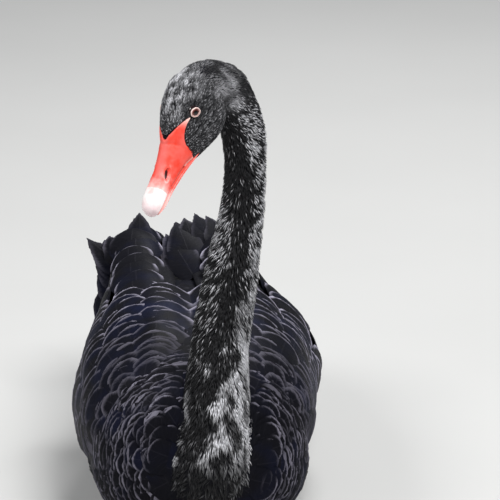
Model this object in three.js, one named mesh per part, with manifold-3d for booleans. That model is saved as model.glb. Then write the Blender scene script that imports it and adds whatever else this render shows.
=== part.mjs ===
import * as THREE from 'three';
import { mergeVertices } from 'three/addons/utils/BufferGeometryUtils.js';
import Module from 'manifold-3d';

// A black swan resting on its belly, life size, with its neck up and its head turned to its right.
// Millimetres, +Z up, the breast towards -Y and the bird's left side towards +X.
// The origin lies on the ground, in the middle of the flat of the belly.

const wasm = await Module();
wasm.setup();

// Driving dimensions of the body
const GAP = 0.4;
const BODY_FRONT = -236;
const BODY_REAR = 318;
const BODY_HALF_WIDTH = 125;
const BODY_WAIST = 0.43;
const BODY_ROUNDNESS = 2.3;
const BODY_ENDS = [0.035, 0.975];
const BODY_STEPS = 16;
const BODY_SIDES = 28;

// Driving dimensions of the neck and head
const NECK_SIDES = 20;
const HEAD_SIDES = 26;
const BILL_SIDES = 18;
const BILL_TIP = [-65.5, -302, 434];
const BILL_AIM = [-0.509, -0.53, -0.678];
const CROWN_AIM = [-0.588, -0.361, 0.724];
const HEAD_FRONT = 68;
const HEAD_LENGTH = 157;
const HEAD_WAIST = 0.42;
const HEAD_ROUNDNESS = 2.15;
const HEAD_STEPS = 14;
const BILL_FRONT = 0.6;
const BILL_REAR = 86;
const BILL_WAIST = 0.25;
const BILL_ROUNDNESS = 2.5;
const BILL_STEPS = 12;
const JAW_FRONT = 4;
const JAW_INSET = 1.8;
const JAW_STEPS = 8;
const MOUTH_GAP = 0.5;
const TIP_LENGTH = 28;
const TIP_SLANT = 3;
const LORE_SINK = 0.8;
const NOSTRIL = { back: 43, out: 12.5, up: 13, length: 6.5, depth: 6, width: 1.6, turn: -0.35 };
const EYE = { back: 110.6, out: 24.7, up: 33.3, ball: 7, opening: 4.6, rim: 1.15, ahead: 0.28, lift: 0.12 };

// Driving dimensions of the wings, tail and feet
const WING_FRONT = 0.24;
const WING_REAR = 0.87;
const WING_EDGE = 3;
const WING_CREST = 40;
const WING_BULGE = 46;
const WING_SINK = 6;
const TAIL_END = 372;
const TAIL_HEIGHT = 150;
const WEB_THICKNESS = 3.5;

// Driving dimensions of a feather's vane
const VANE = { edge: 0.6, ridge: 1.3, camber: 0.07, core: 1.5, root: -6 };

const vec = (x, y, z) => new THREE.Vector3(x, y, z);
const { lerp, clamp } = THREE.MathUtils;
const UP = vec(0, 0, 1);

// A smooth curve through [place, value] pairs, level where the values turn
function through(pairs) {
  const slope = pairs.map((pair, i) => {
    if (i === 0 || i === pairs.length - 1) return null;
    const before = (pair[1] - pairs[i - 1][1]) / (pair[0] - pairs[i - 1][0]);
    const after = (pairs[i + 1][1] - pair[1]) / (pairs[i + 1][0] - pair[0]);
    return before * after <= 0 ? 0 : (2 * before * after) / (before + after);
  });
  const last = pairs.length - 1;
  slope[0] = 1.5 * (pairs[1][1] - pairs[0][1]) / (pairs[1][0] - pairs[0][0]) - slope[1] / 2;
  slope[last] = 1.5 * (pairs[last][1] - pairs[last - 1][1])
    / (pairs[last][0] - pairs[last - 1][0]) - slope[last - 1] / 2;
  return (place) => {
    const x = clamp(place, pairs[0][0], pairs[last][0]);
    let i = 0;
    while (i < last - 1 && x > pairs[i + 1][0]) i += 1;
    const step = pairs[i + 1][0] - pairs[i][0];
    const t = (x - pairs[i][0]) / step;
    const rise = pairs[i + 1][1] - pairs[i][1];
    return pairs[i][1] + t * t * (3 - 2 * t) * rise
      + step * t * (1 - t) * (slope[i] * (1 - t) - slope[i + 1] * t);
  };
}

// A point at an angle round an oval section, with its own reach up, down and to each side
function ovalPoint(centre, side, up, size, roundness, angle) {
  const power = 2 / roundness;
  const across = Math.sign(Math.sin(angle)) * Math.abs(Math.sin(angle)) ** power;
  const along = Math.sign(Math.cos(angle)) * Math.abs(Math.cos(angle)) ** power;
  const reach = along > 0 ? size.up : size.down;
  return centre.clone().addScaledVector(side, size.half * across).addScaledVector(up, reach * along);
}

function ovalRing(centre, side, up, size, roundness, sides) {
  return Array.from({ length: sides }, (_, i) =>
    ovalPoint(centre, side, up, size, roundness, (i / sides) * 2 * Math.PI));
}

// A closed mesh from triangles over points, turned so that its faces point out
function closed(points, triangles) {
  let volume = 0;
  for (const [a, b, c] of triangles) {
    volume += points[a].dot(points[b].clone().cross(points[c]));
  }
  const order = volume < 0 ? triangles.map(([a, b, c]) => [a, c, b]) : triangles;
  return new wasm.Manifold(new wasm.Mesh({
    numProp: 3,
    vertProperties: new Float32Array(points.flatMap((p) => p.toArray())),
    triVerts: new Uint32Array(order.flat()),
  }));
}

// A skin over rings of points, closed by a fan at each end
function loft(rings) {
  const sides = rings[0].length;
  const points = rings.flat();
  const triangles = [];
  for (let ring = 0; ring < rings.length - 1; ring += 1) {
    for (let i = 0; i < sides; i += 1) {
      const a = ring * sides + i;
      const b = ring * sides + (i + 1) % sides;
      triangles.push([a, b, b + sides], [a, b + sides, a + sides]);
    }
  }
  for (const ring of [0, rings.length - 1]) {
    const start = ring * sides;
    const middle = rings[ring].reduce((sum, p) => sum.add(p), vec(0, 0, 0)).divideScalar(sides);
    points.push(middle);
    for (let i = 0; i < sides; i += 1) {
      const pair = [start + i, start + (i + 1) % sides];
      if (ring > 0) pair.reverse();
      triangles.push([pair[1], pair[0], points.length - 1]);
    }
  }
  return closed(points, triangles);
}

// A closed skin over two grids of points, one above the other, joined round their borders
function slab(top, bottom) {
  const rows = top.length;
  const columns = top[0].length;
  const points = [...top.flat(), ...bottom.flat()];
  const below = rows * columns;
  const triangles = [];
  for (let i = 0; i < rows - 1; i += 1) {
    for (let j = 0; j < columns - 1; j += 1) {
      const a = i * columns + j;
      const [b, c, d] = [a + 1, a + columns + 1, a + columns];
      triangles.push([a, b, c], [a, c, d]);
      triangles.push([below + a, below + c, below + b], [below + a, below + d, below + c]);
    }
  }
  const border = [];
  for (let j = 0; j < columns - 1; j += 1) border.push(j);
  for (let i = 0; i < rows - 1; i += 1) border.push(i * columns + columns - 1);
  for (let j = columns - 1; j > 0; j -= 1) border.push((rows - 1) * columns + j);
  for (let i = rows - 1; i > 0; i -= 1) border.push(i * columns);
  border.forEach((a, i) => {
    const b = border[(i + 1) % border.length];
    triangles.push([a, below + b, b], [a, below + a, below + b]);
  });
  return closed(points, triangles);
}

// A geometry from the library's own shapes, as a solid
function solid(geometry, matrix = new THREE.Matrix4()) {
  const bare = geometry.clone().applyMatrix4(matrix);
  bare.deleteAttribute('normal');
  bare.deleteAttribute('uv');
  const merged = mergeVertices(bare, 1e-4);
  return new wasm.Manifold(new wasm.Mesh({
    numProp: 3,
    vertProperties: new Float32Array(merged.attributes.position.array),
    triVerts: new Uint32Array(merged.index.array),
  }));
}

function block(low, high) {
  const size = high.map((value, i) => value - low[i]);
  const middle = high.map((value, i) => (value + low[i]) / 2);
  return solid(new THREE.BoxGeometry(...size), new THREE.Matrix4().makeTranslation(...middle));
}

function union(pieces) {
  return pieces.reduce((sum, piece) => sum.add(piece));
}

// The largest closed surface of a solid
function largest(shape) {
  const pieces = shape.decompose();
  return pieces.reduce((best, piece) => (piece.volume() > best.volume() ? piece : best));
}

const swan = new THREE.Group();

function node(name, shape, finish) {
  const mesh = largest(shape).getMesh();
  const geometry = new THREE.BufferGeometry();
  const places = new Float32Array(mesh.numVert * 3);
  for (let i = 0; i < mesh.numVert; i += 1) {
    for (let k = 0; k < 3; k += 1) places[i * 3 + k] = mesh.vertProperties[i * mesh.numProp + k];
  }
  geometry.setAttribute('position', new THREE.BufferAttribute(places, 3));
  geometry.setIndex(new THREE.BufferAttribute(new Uint32Array(mesh.triVerts), 1));
  geometry.computeVertexNormals();
  const result = new THREE.Mesh(geometry, finish);
  result.name = name;
  swan.add(result);
}

const finish = (color, roughness) =>
  new THREE.MeshStandardMaterial({ color, roughness, metalness: 0 });
const BLACK_FEATHER = finish(0x17181d, 0.62);
const RED_BILL = finish(0xd9452f, 0.38);
const PALE_BILL = finish(0xf3e0df, 0.34);
const PALE_SKIN = finish(0xe7b9b4, 0.5);
const DARK_EYE = finish(0x2b0d0c, 0.12);
const DARK_SKIN = finish(0x24262a, 0.55);

// The body, an egg that is fullest before its middle, by a place along it from 0 to 1
const bodyTop = through([[0, 120], [0.12, 192], [0.26, 220], [0.43, 228], [0.6, 215], [0.76, 190],
  [0.9, 168], [1, 150]]);
const bodyKeel = through([[0, 120], [0.12, 50], [0.26, 12], [0.43, -3], [0.55, 2], [0.66, 26],
  [0.78, 84], [0.9, 126], [1, 150]]);
const bodyHalf = through([[0, 0], [0.12, 79], [0.26, 118], [0.41, BODY_HALF_WIDTH], [0.58, 104],
  [0.76, 60], [0.9, 28], [1, 0]]);

function bodyPoint(place, angle, proud = 0) {
  const top = bodyTop(place);
  const keel = bodyKeel(place);
  const y = lerp(BODY_FRONT, BODY_REAR, (1 - Math.cos(Math.PI * place)) / 2);
  const waist = lerp(keel, top, BODY_WAIST);
  const size = { half: bodyHalf(place), up: top - waist, down: waist - keel };
  const point = ovalPoint(vec(0, y, waist), vec(1, 0, 0), UP, size, BODY_ROUNDNESS, angle);
  return proud ? point.addScaledVector(bodyNormal(place, angle), proud) : point;
}

function bodyNormal(place, angle) {
  const step = 0.004;
  const along = bodyPoint(Math.min(place + step, 1), angle).sub(bodyPoint(Math.max(place - step, 0), angle));
  const round = bodyPoint(place, angle + step).sub(bodyPoint(place, angle - step));
  return round.cross(along).normalize();
}

function bodyShape(proud) {
  const places = Array.from({ length: BODY_STEPS + 1 }, (_, i) =>
    lerp(...BODY_ENDS, i / BODY_STEPS));
  return loft(places.map((place) => Array.from({ length: BODY_SIDES }, (_, i) =>
    bodyPoint(place, (i / BODY_SIDES) * 2 * Math.PI, proud))));
}

const ground = block([-400, -500, -100], [400, 600, 0]);
const torso = bodyShape(0).subtract(ground);
const torsoClear = bodyShape(GAP);
node('torso', torso, BLACK_FEATHER);

// The head's own frame: how far back from the bill's tip, out to its left and up
const aim = vec(...BILL_AIM).normalize();
const left = vec(...CROWN_AIM).cross(aim).normalize();
const crown = aim.clone().cross(left).normalize();
const headPoint = (back, out, up) => vec(...BILL_TIP).addScaledVector(aim, -back)
  .addScaledVector(left, out).addScaledVector(crown, up);

// The neck's course from inside the breast, up and over to the back of the head
const NECK = [
  { at: [0, -110, 100], half: 64, back: 66, front: 72, dorsal: [0, 0.2, 1] },
  { at: [2, -165, 104], half: 64, back: 60, front: 66, dorsal: [0, 0.45, 0.9] },
  { at: [6, -202, 132], half: 49, back: 54, front: 60, dorsal: [0, 0.85, 0.5] },
  { at: [11, -211, 172], half: 39.5, back: 48, front: 51, dorsal: [0, 1, 0.1] },
  { at: [14, -208, 214], half: 35.5, back: 43, front: 43, dorsal: [0, 1, 0] },
  { at: [18, -201, 258], half: 32, back: 37, front: 37, dorsal: [0, 1, 0] },
  { at: [26, -195, 305], half: 31.5, back: 33, front: 33, dorsal: [0, 1, 0] },
  { at: [34, -191, 352], half: 28.5, back: 30, front: 30, dorsal: [0, 1, 0] },
  { at: [42, -192, 400], half: 25, back: 26, front: 26, dorsal: [0, 1, 0] },
  { at: [45, -196, 448], half: 23.5, back: 25, front: 24, dorsal: [0.1, 1, 0.05] },
  { at: [42, -200, 494], half: 25, back: 24.5, front: 24, dorsal: [0.5, 0.8, 0.3] },
  { at: [35, -204, 519], half: 25.5, back: 24, front: 25, dorsal: [0.6, 0.6, 0.6] },
  { at: [20, -213, 541], half: 26, back: 28, front: 24, dorsal: [0.3, 0.3, 0.9] },
  { at: [-3, -231, 550], half: 25, back: 27, front: 24, dorsal: [-0.3, -0.1, 0.95] },
  { at: headPoint(126, 0, 29).toArray(), half: 20, back: 24, front: 20, dorsal: CROWN_AIM },
];
const NECK_CUTS = [0, 4.4, 7.5, NECK.length - 1];
const neckPath = new THREE.CatmullRomCurve3(NECK.map(({ at }) => vec(...at)));
const neckSize = (key) => through(NECK.map((station, i) => [i, station[key]]));
const neckHalf = neckSize('half');
const neckBack = neckSize('back');
const neckFront = neckSize('front');

function neckRing(place) {
  const last = NECK.length - 1;
  const centre = neckPath.getPoint(place / last);
  const course = neckPath.getTangent(place / last);
  const i = Math.min(Math.floor(place), last - 1);
  const dorsal = vec(...NECK[i].dorsal).lerp(vec(...NECK[i + 1].dorsal), place - i);
  dorsal.addScaledVector(course, -dorsal.dot(course)).normalize();
  const side = dorsal.clone().cross(course);
  const size = { half: neckHalf(place), up: neckBack(place), down: neckFront(place) };
  return ovalRing(centre, side, dorsal, size, 2, NECK_SIDES);
}

function neckLength(from, to, steps) {
  return loft(Array.from({ length: steps + 1 }, (_, i) => neckRing(lerp(from, to, i / steps))));
}

const NECK_GAP = 0.005;
const neckBase = neckLength(NECK_CUTS[0], NECK_CUTS[1] - NECK_GAP, 10).subtract(torsoClear);
node('neck_base', neckBase, BLACK_FEATHER);
node('neck_middle', neckLength(NECK_CUTS[1] + NECK_GAP, NECK_CUTS[2] - NECK_GAP, 6), BLACK_FEATHER);

// The feathered head, by the distance back from the bill's tip
const headTop = through([[68, 25], [74, 31.5], [84, 40], [96, 48], [108, 54.5], [120, 58], [132, 60],
  [142, 61], [150, 57], [157, 38]]);
const headBottom = through([[68, -8], [76, -12], [88, -16], [102, -19.5], [118, -22.5], [135, -19.5],
  [148, -6], [157, 14]]);
const headHalf = through([[68, 14.5], [74, 17], [86, 21], [100, 25], [116, 27.5], [130, 27],
  [142, 23], [150, 17.5], [157, 4]]);

function headShape(proud) {
  return loft(Array.from({ length: HEAD_STEPS + 1 }, (_, i) => {
    const share = Math.sin((Math.PI / 2) * (i / HEAD_STEPS) ** 0.8);
    const back = lerp(HEAD_FRONT, HEAD_LENGTH, share);
    const middle = lerp(headBottom(back), headTop(back), HEAD_WAIST);
    const size = {
      half: headHalf(back) + proud,
      up: headTop(back) - middle + proud,
      down: middle - headBottom(back) + proud,
    };
    const end = i === HEAD_STEPS ? proud : 0;
    return ovalRing(headPoint(back + end, 0, middle), left, crown, size, HEAD_ROUNDNESS, HEAD_SIDES);
  }));
}
const neckUpper = neckLength(NECK_CUTS[2] + NECK_GAP, NECK_CUTS[3], 17).subtract(headShape(GAP));
node('neck_upper', neckUpper, BLACK_FEATHER);

// A flat outline in the head's side view, given as [back, up], carried through from side to side
function sideCut(outline, reach) {
  const shape = new THREE.Shape(outline.map(([back, up]) => new THREE.Vector2(back, up)));
  const cut = new THREE.ExtrudeGeometry(shape, { depth: 2 * reach, bevelEnabled: false });
  const matrix = new THREE.Matrix4().makeBasis(aim.clone().negate(), crown, left);
  return solid(cut, matrix.setPosition(headPoint(0, -reach, 0)));
}

// An outline moved out by a distance along all its edges, for corners listed clockwise
function grow(outline, distance) {
  const normal = (from, to) => new THREE.Vector2(from[1] - to[1], to[0] - from[0]).normalize();
  return outline.map((corner, i) => {
    const before = normal(outline.at(i - 1), corner);
    const after = normal(corner, outline[(i + 1) % outline.length]);
    const mitre = before.clone().add(after).multiplyScalar(distance / (1 + before.dot(after)));
    return [corner[0] + mitre.x, corner[1] + mitre.y];
  });
}

// The bill: half width, culmen and mouth line by the distance back from its tip
const billHalf = through([[0, 0], [1.5, 7], [6, 12], [16, 14.8], [34, 14], [50, 14.4], [62, 15.2],
  [75, 17], [88, 18]]);
const billTop = through([[0, -2], [1.5, 3], [6, 7], [16, 11], [34, 14.5], [50, 19], [62, 24],
  [72, 28.5], [88, 31]]);
const billMouth = through([[0, -5], [1.5, -5.5], [6, -4], [16, -1.5], [40, 0], [60, -0.5], [75, -2],
  [88, -3.4]]);
const billChin = through([[4, -5.5], [16, -5.6], [34, -5.6], [54, -6.4], [70, -7.2], [88, -8.5]]);

function billLoft(first, last, steps, half, top, bottom, proud = 0) {
  return loft(Array.from({ length: steps + 1 }, (_, i) => {
    const back = lerp(first, last, (i / steps) ** 1.5);
    const middle = lerp(bottom(back), top(back), BILL_WAIST);
    const size = {
      half: half(back) + proud,
      up: top(back) - middle + proud,
      down: middle - bottom(back) + proud,
    };
    const end = i === steps ? proud : 0;
    return ovalRing(headPoint(back + end, 0, middle), left, crown, size, BILL_ROUNDNESS, BILL_SIDES);
  }));
}

// The bare red skin from the bill back to the eye, given as [back, up]
const LORE = [[64, -2.6], [64, 20], [71, 28.4], [80, 33], [92, 35], [103.6, 33.4], [94, 29.6],
  [85.6, 24.4], [80, 16.6], [77.5, 6], [77, -2.8]];
const LORE_CLEAR = grow(LORE, GAP);
const SIDE_REACH = 60;
const lores = headShape(-LORE_SINK).intersect(sideCut(LORE, SIDE_REACH));
const upperBill = billLoft(BILL_FRONT, BILL_REAR, BILL_STEPS, billHalf, billTop, billMouth);
const lowMouth = (back) => billMouth(back) - MOUTH_GAP;
const upperClear = billLoft(BILL_FRONT, BILL_REAR, BILL_STEPS, billHalf, billTop, lowMouth, GAP);
const jawHalf = (back) => Math.max(billHalf(back) - JAW_INSET, 1);
const jawTop = (back) => billMouth(back) + 1.2;
const jawShape = (proud) => billLoft(JAW_FRONT, BILL_REAR, JAW_STEPS, jawHalf, jawTop, billChin, proud);

// A slit through the side of the bill for each nostril
function nostril(out) {
  const slit = new THREE.SphereGeometry(1, 10, 6);
  const matrix = new THREE.Matrix4().makeBasis(aim, left, crown);
  const turn = new THREE.Matrix4().makeRotationY(NOSTRIL.turn);
  matrix.multiply(turn).scale(vec(NOSTRIL.length, NOSTRIL.depth, NOSTRIL.width));
  return solid(slit, matrix.setPosition(headPoint(NOSTRIL.back, out * NOSTRIL.out, NOSTRIL.up)));
}

// All that lies ahead of the slanting line where the pale tip meets the red of the bill
function aheadOfTip(proud) {
  const [low, high, ahead] = [-30, 40, -20];
  const slanting = [[TIP_LENGTH - TIP_SLANT + proud, high], [TIP_LENGTH + proud, low]];
  return sideCut([[ahead, low], [ahead, high], ...slanting], SIDE_REACH);
}

const wholeUpper = upperBill.add(lores).subtract(nostril(1)).subtract(nostril(-1));
node('bill_upper', wholeUpper.subtract(aheadOfTip(GAP)), RED_BILL);
node('bill_tip', upperBill.intersect(aheadOfTip(0)), PALE_BILL);
const jaw = jawShape(0).subtract(upperClear).subtract(sideCut(LORE_CLEAR, SIDE_REACH));
node('bill_lower', jaw, RED_BILL);

// Eyes with their bare rims
function eyeMatrix(side) {
  const look = left.clone().multiplyScalar(side);
  look.addScaledVector(aim, EYE.ahead).addScaledVector(crown, EYE.lift).normalize();
  const across = UP.clone().cross(look).normalize();
  return new THREE.Matrix4().makeBasis(across, look.clone().cross(across), look)
    .setPosition(headPoint(EYE.back, side * EYE.out, EYE.up));
}

function eyeBall(side, proud) {
  const sink = Math.sqrt(EYE.ball ** 2 - EYE.opening ** 2);
  const matrix = eyeMatrix(side).multiply(new THREE.Matrix4().makeTranslation(0, 0, -sink));
  return solid(new THREE.SphereGeometry(EYE.ball + proud, 11, 7), matrix);
}

function eyeRim(side, proud) {
  return solid(new THREE.TorusGeometry(EYE.opening, EYE.rim + proud, 5, 14), eyeMatrix(side));
}

let head = headShape(0).subtract(sideCut(LORE_CLEAR, SIDE_REACH));
head = head.subtract(upperClear).subtract(jawShape(GAP));
for (const [name, side] of [['left', 1], ['right', -1]]) {
  head = head.subtract(eyeBall(side, GAP)).subtract(eyeRim(side, GAP));
  node(`eye_${name}`, eyeBall(side, 0).subtract(eyeRim(side, GAP)), DARK_EYE);
  node(`eyelid_${name}`, eyeRim(side, 0), PALE_SKIN);
}
node('head', head, BLACK_FEATHER);

// Feet folded under the rear of the body, webs flat on the ground
const TOE_JOINT = [80, 158, 8];
const ANKLE = [74, 226, 31];
const THIGH = [64, 190, 66];
const TOES = [[56, 58], [80, 42], [104, 60]];
const TOE_DROP = 6;
const WEB_NOTCH = 18;

function limb(points, radii, sides) {
  const path = new THREE.CatmullRomCurve3(points.map((p) => vec(...p)));
  const steps = (points.length - 1) * 2;
  const size = through(radii.map((radius, i) => [i / (radii.length - 1), radius]));
  return loft(Array.from({ length: steps + 1 }, (_, i) => {
    const course = path.getTangent(i / steps);
    const side = UP.clone().cross(course).normalize();
    const up = course.clone().cross(side);
    const radius = size(i / steps);
    const reach = { half: radius, up: radius, down: radius };
    return ovalRing(path.getPoint(i / steps), side, up, reach, 2, sides);
  }));
}

function foot(side) {
  const [x, y, z] = TOE_JOINT;
  const between = (a, b) => [(a[0] + b[0]) / 2, TOES[1][1] + WEB_NOTCH];
  const outline = [[x - 6, y], [x + 6, y], [x + 12, y - 18], TOES[2], between(TOES[1], TOES[2]),
    TOES[1], between(TOES[0], TOES[1]), TOES[0], [x - 12, y - 18]];
  const shape = new THREE.Shape(outline.map(([px, py]) => new THREE.Vector2(side * px, py)));
  const web = solid(new THREE.ExtrudeGeometry(shape, { depth: WEB_THICKNESS, bevelEnabled: false }));
  const toes = TOES.map(([px, py]) => limb(
    [[side * x, y + 4, z], [side * lerp(x, px, 0.55), lerp(y, py, 0.55), 5],
      [side * px, py - TOE_DROP, 2.4]],
    [8, 5.5, 2.4],
    8,
  ));
  const behind = block([-200, y, -50], [200, 400, 200]);
  return union([web, ...toes]).subtract(behind).subtract(ground);
}

function shank(side, proud) {
  const [x, y, z] = TOE_JOINT;
  const course = [THIGH, [74, 216, 50], ANKLE, [78, 200, 16], [x, y - 6, z]];
  const radii = [17, 12, 10, 7.5, 7.8].map((radius) => radius + proud);
  return limb(course.map(([px, ...rest]) => [side * px, ...rest]), radii, 10);
}

function leg(side) {
  const ahead = block([-200, -400, -50], [200, TOE_JOINT[1] + GAP, 200]);
  return shank(side, 0).subtract(torsoClear).subtract(ahead).subtract(ground);
}

for (const [name, side] of [['left', 1], ['right', -1]]) {
  node(`foot_${name}`, foot(side).subtract(torsoClear), DARK_SKIN);
  node(`leg_${name}`, leg(side), DARK_SKIN);
}

// A folded wing lies on the body as a shell, from the back's middle line down over the flank
const wingUpper = through([[0, 0.4], [0.2, 0.09], [0.7, 0.03], [1, 0.12]]);
const wingLower = {
  left: through([[0, 1.3], [0.25, 1.72], [0.55, 2.05], [0.75, 2.05], [1, 1.5]]),
  right: through([[0, 1.3], [0.25, 1.72], [0.6, 1.78], [1, 1.5]]),
};
const swell = (value, middle, spread) => Math.exp(-(((value - middle) / spread) ** 2));

function wingHeight(along, down, side) {
  const rim = (Math.sin(Math.PI * Math.min(along, 0.5)) * Math.sin(Math.PI * down)) ** 0.5;
  const crest = WING_CREST * swell(along, 0.84, 0.24) * swell(down, 0.26, 0.2);
  const flank = side > 0 ? WING_BULGE * swell(along, 0.6, 0.19) * swell(down, 0.7, 0.23) : 0;
  return WING_EDGE + 8 * rim + (crest + flank) * Math.min(1, 3 * rim);
}

function wingPoint(along, down, side, proud) {
  const place = lerp(WING_FRONT, WING_REAR, along);
  const lower = side > 0 ? wingLower.left : wingLower.right;
  const angle = lerp(wingUpper(along), lower(along), down);
  return bodyPoint(place, side * angle, proud);
}

function wingShell(side) {
  const rows = 10;
  const columns = 7;
  const grid = (proud) => Array.from({ length: rows + 1 }, (_, i) =>
    Array.from({ length: columns + 1 }, (_, j) => {
      const along = (1 - Math.cos((Math.PI * i) / rows)) / 2;
      const down = j / columns;
      return wingPoint(along, down, side, proud(along, down));
    }));
  const fade = (along) => 1 - Math.max(0, (along - 0.86) / 0.14) ** 2;
  const outer = (along, down) => wingHeight(along, down, side) * fade(along) - VANE.core;
  return slab(grid(outer), grid(() => -WING_SINK));
}

// A feather's vane: a tapering plate with a low ridge along its shaft, over stations from root to tip
const vaneWidth = through([[0, 0.5], [0.35, 0.88], [0.65, 1], [0.88, 0.78], [1, 0.34]]);

function vane(stations, half, proud = 0) {
  const last = stations.length - 1;
  const points = stations.flatMap(({ at, normal }, i) => {
    const course = stations[Math.min(i + 1, last)].at.clone().sub(stations[Math.max(i - 1, 0)].at);
    const side = normal.clone().cross(course).normalize();
    const reach = half * vaneWidth(i / last) + proud;
    const drop = VANE.camber * reach;
    const end = i === last ? proud : 0;
    const corner = (out, rise) => at.clone().addScaledVector(side, out * reach)
      .addScaledVector(normal, rise).addScaledVector(course.normalize(), end);
    return [corner(-1, proud - drop), corner(-1, -drop - VANE.edge - proud),
      corner(0, -VANE.ridge - proud), corner(1, -drop - VANE.edge - proud),
      corner(1, proud - drop), corner(0, proud)];
  });
  const triangles = [[0, 1, 2], [0, 2, 5], [5, 2, 3], [5, 3, 4]];
  for (let i = 0; i < last; i += 1) {
    const near = (k) => i * 6 + k;
    const far = (k) => near(k) + 6;
    for (const [a, b] of [[0, 1], [5, 0], [4, 5], [3, 4]]) {
      triangles.push([near(a), far(b), near(b)], [near(a), far(a), far(b)]);
    }
    for (const [a, b] of [[1, 2], [2, 3]]) {
      triangles.push([near(a), far(a), near(b)], [near(b), far(a), far(b)]);
    }
  }
  const end = last * 6;
  triangles.push([end, end + 2, end + 1], [end, end + 5, end + 2]);
  triangles.push([end + 5, end + 3, end + 2], [end + 5, end + 4, end + 3]);
  return closed(points, triangles);
}

// The tail, a short rounded fan behind the rump, each feather a little under its inner neighbour
const TAIL_SIDE_FEATHERS = 5;

function tailFeather(index, proud) {
  const out = index / TAIL_SIDE_FEATHERS;
  const reach = TAIL_END - 24 * out * out;
  const lie = TAIL_HEIGHT + 8 - 3 * Math.abs(index) - (index < 0 ? 1.5 : 0);
  const stations = Array.from({ length: 4 }, (_, i) => {
    const t = i / 3;
    return {
      at: vec(lerp(17 * out, 62 * out, t), lerp(288, reach, t), lie + 9 * t),
      normal: vec(0.1 * out, -0.1, 1).normalize(),
    };
  });
  return vane(stations, 13.5, proud);
}

function tailFan(proud) {
  const feathers = Array.from({ length: 2 * TAIL_SIDE_FEATHERS + 1 }, (_, i) =>
    tailFeather(i - TAIL_SIDE_FEATHERS, proud));
  const core = new THREE.SphereGeometry(1, 12, 6);
  const matrix = new THREE.Matrix4().makeScale(24 + proud, 36 + proud, 13 + proud)
    .setPosition(0, 292, TAIL_HEIGHT);
  return union([solid(core, matrix), ...feathers]);
}
node('tail', tailFan(0).subtract(torsoClear), BLACK_FEATHER);

// The wing's outer face, carried straight on behind its rear rim
function wingSkin(along, down, side, rise) {
  const inside = Math.min(along, 1);
  const at = wingPoint(inside, down, side, wingHeight(inside, down, side) + rise);
  const beyond = (along - inside) * (BODY_REAR - BODY_FRONT) * (WING_REAR - WING_FRONT);
  return at.addScaledVector(vec(-0.12 * side, 1, -0.12), beyond);
}

function wingNormal(along, down, side) {
  const step = 0.05;
  const back = wingSkin(along + step, down, side, 0).sub(wingSkin(along - step, down, side, 0));
  const across = wingSkin(along, down + step, side, 0).sub(wingSkin(along, down - step, side, 0));
  return across.cross(back).multiplyScalar(side).normalize();
}

// One feather on the wing, from its sunk root back over the ones behind it to its raised tip
function wingFeather(along, down, side, { length, half, lift }) {
  const pace = wingSkin(along + 0.05, down, side, 0).distanceTo(wingSkin(along, down, side, 0)) / 0.05;
  const stations = [0, 0.22, 0.5, 0.78, 1].map((t) => {
    const spot = [along + (t * length) / pace, down, side];
    const rise = VANE.root * Math.max(0, 1 - 4.5 * t) + lift * t;
    return { at: wingSkin(...spot, rise), normal: wingNormal(...spot) };
  });
  return vane(stations, half);
}

// A repeatable draw between -1 and 1 for the feather with this number
const jitter = (seed) => {
  const value = Math.sin(seed * 127.1 + 11.7) * 43758.5453;
  return 2 * (value - Math.floor(value)) - 1;
};

// Rows of feathers from the shoulder to the rump, in columns that are staggered like bricks
const WING_ROWS = 7;
const WING_COLUMNS = 4;
const ROW_STEP = 0.132;

function wingFeathers(side) {
  const feathers = [];
  for (let row = 0; row < WING_ROWS; row += 1) {
    for (let column = 0; column < WING_COLUMNS; column += 1) {
      const seed = row * 10 + column + (side > 0 ? 0 : 500);
      const along = 0.01 + ROW_STEP * (row + (column % 2 ? 0.5 : 0));
      const down = (column + 0.5) / WING_COLUMNS;
      const girth = wingSkin(along, 0.1, side, 0).distanceTo(wingSkin(along, 0.9, side, 0)) / 0.7;
      feathers.push(wingFeather(along, down, side, {
        length: lerp(88, 104, along) + 4 * jitter(seed + 1),
        half: (0.58 * girth) / WING_COLUMNS + jitter(seed + 2),
        lift: lerp(11, 8, down) + 0.8 * jitter(seed + 3),
      }));
    }
  }
  return feathers;
}

// Long feathers that curl up off the folded wings: where on the wing each is rooted, and its tip
const PLUMES = {
  left: [
    { root: [0.6, 0.06], tip: [-2, 250, 248], half: 19 },
    { root: [0.62, 0.14], tip: [16, 254, 257], half: 18 },
    { root: [0.62, 0.26], tip: [38, 252, 252], half: 19 },
  ],
  right: [
    { root: [0.6, 0.24], tip: [-50, 255, 241], half: 26 },
    { root: [0.64, 0.2], tip: [-44, 265, 256], half: 14 },
    { root: [0.76, 0.32], tip: [-80, 290, 218], half: 16 },
    { root: [0.78, 0.44], tip: [-105, 300, 216], half: 14 },
    { root: [0.78, 0.54], tip: [-96, 306, 197], half: 15 },
    { root: [0.72, 0.66], tip: [-85, 302, 166], half: 17 },
  ],
};
const PLUME_ARCH = 6;

function plume(side, { root, tip, half }) {
  const start = wingSkin(...root, side, VANE.root);
  const lie = wingNormal(...root, side);
  const bend = start.clone().lerp(vec(...tip), 0.5).addScaledVector(lie, PLUME_ARCH);
  const course = new THREE.QuadraticBezierCurve3(start, bend, vec(...tip));
  const stations = [0, 0.25, 0.5, 0.78, 1].map((t) => {
    const tangent = course.getTangent(t);
    const normal = lie.clone().lerp(UP, t);
    normal.addScaledVector(tangent, -normal.dot(tangent)).normalize();
    return { at: course.getPoint(t), normal };
  });
  return vane(stations, half);
}

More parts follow.
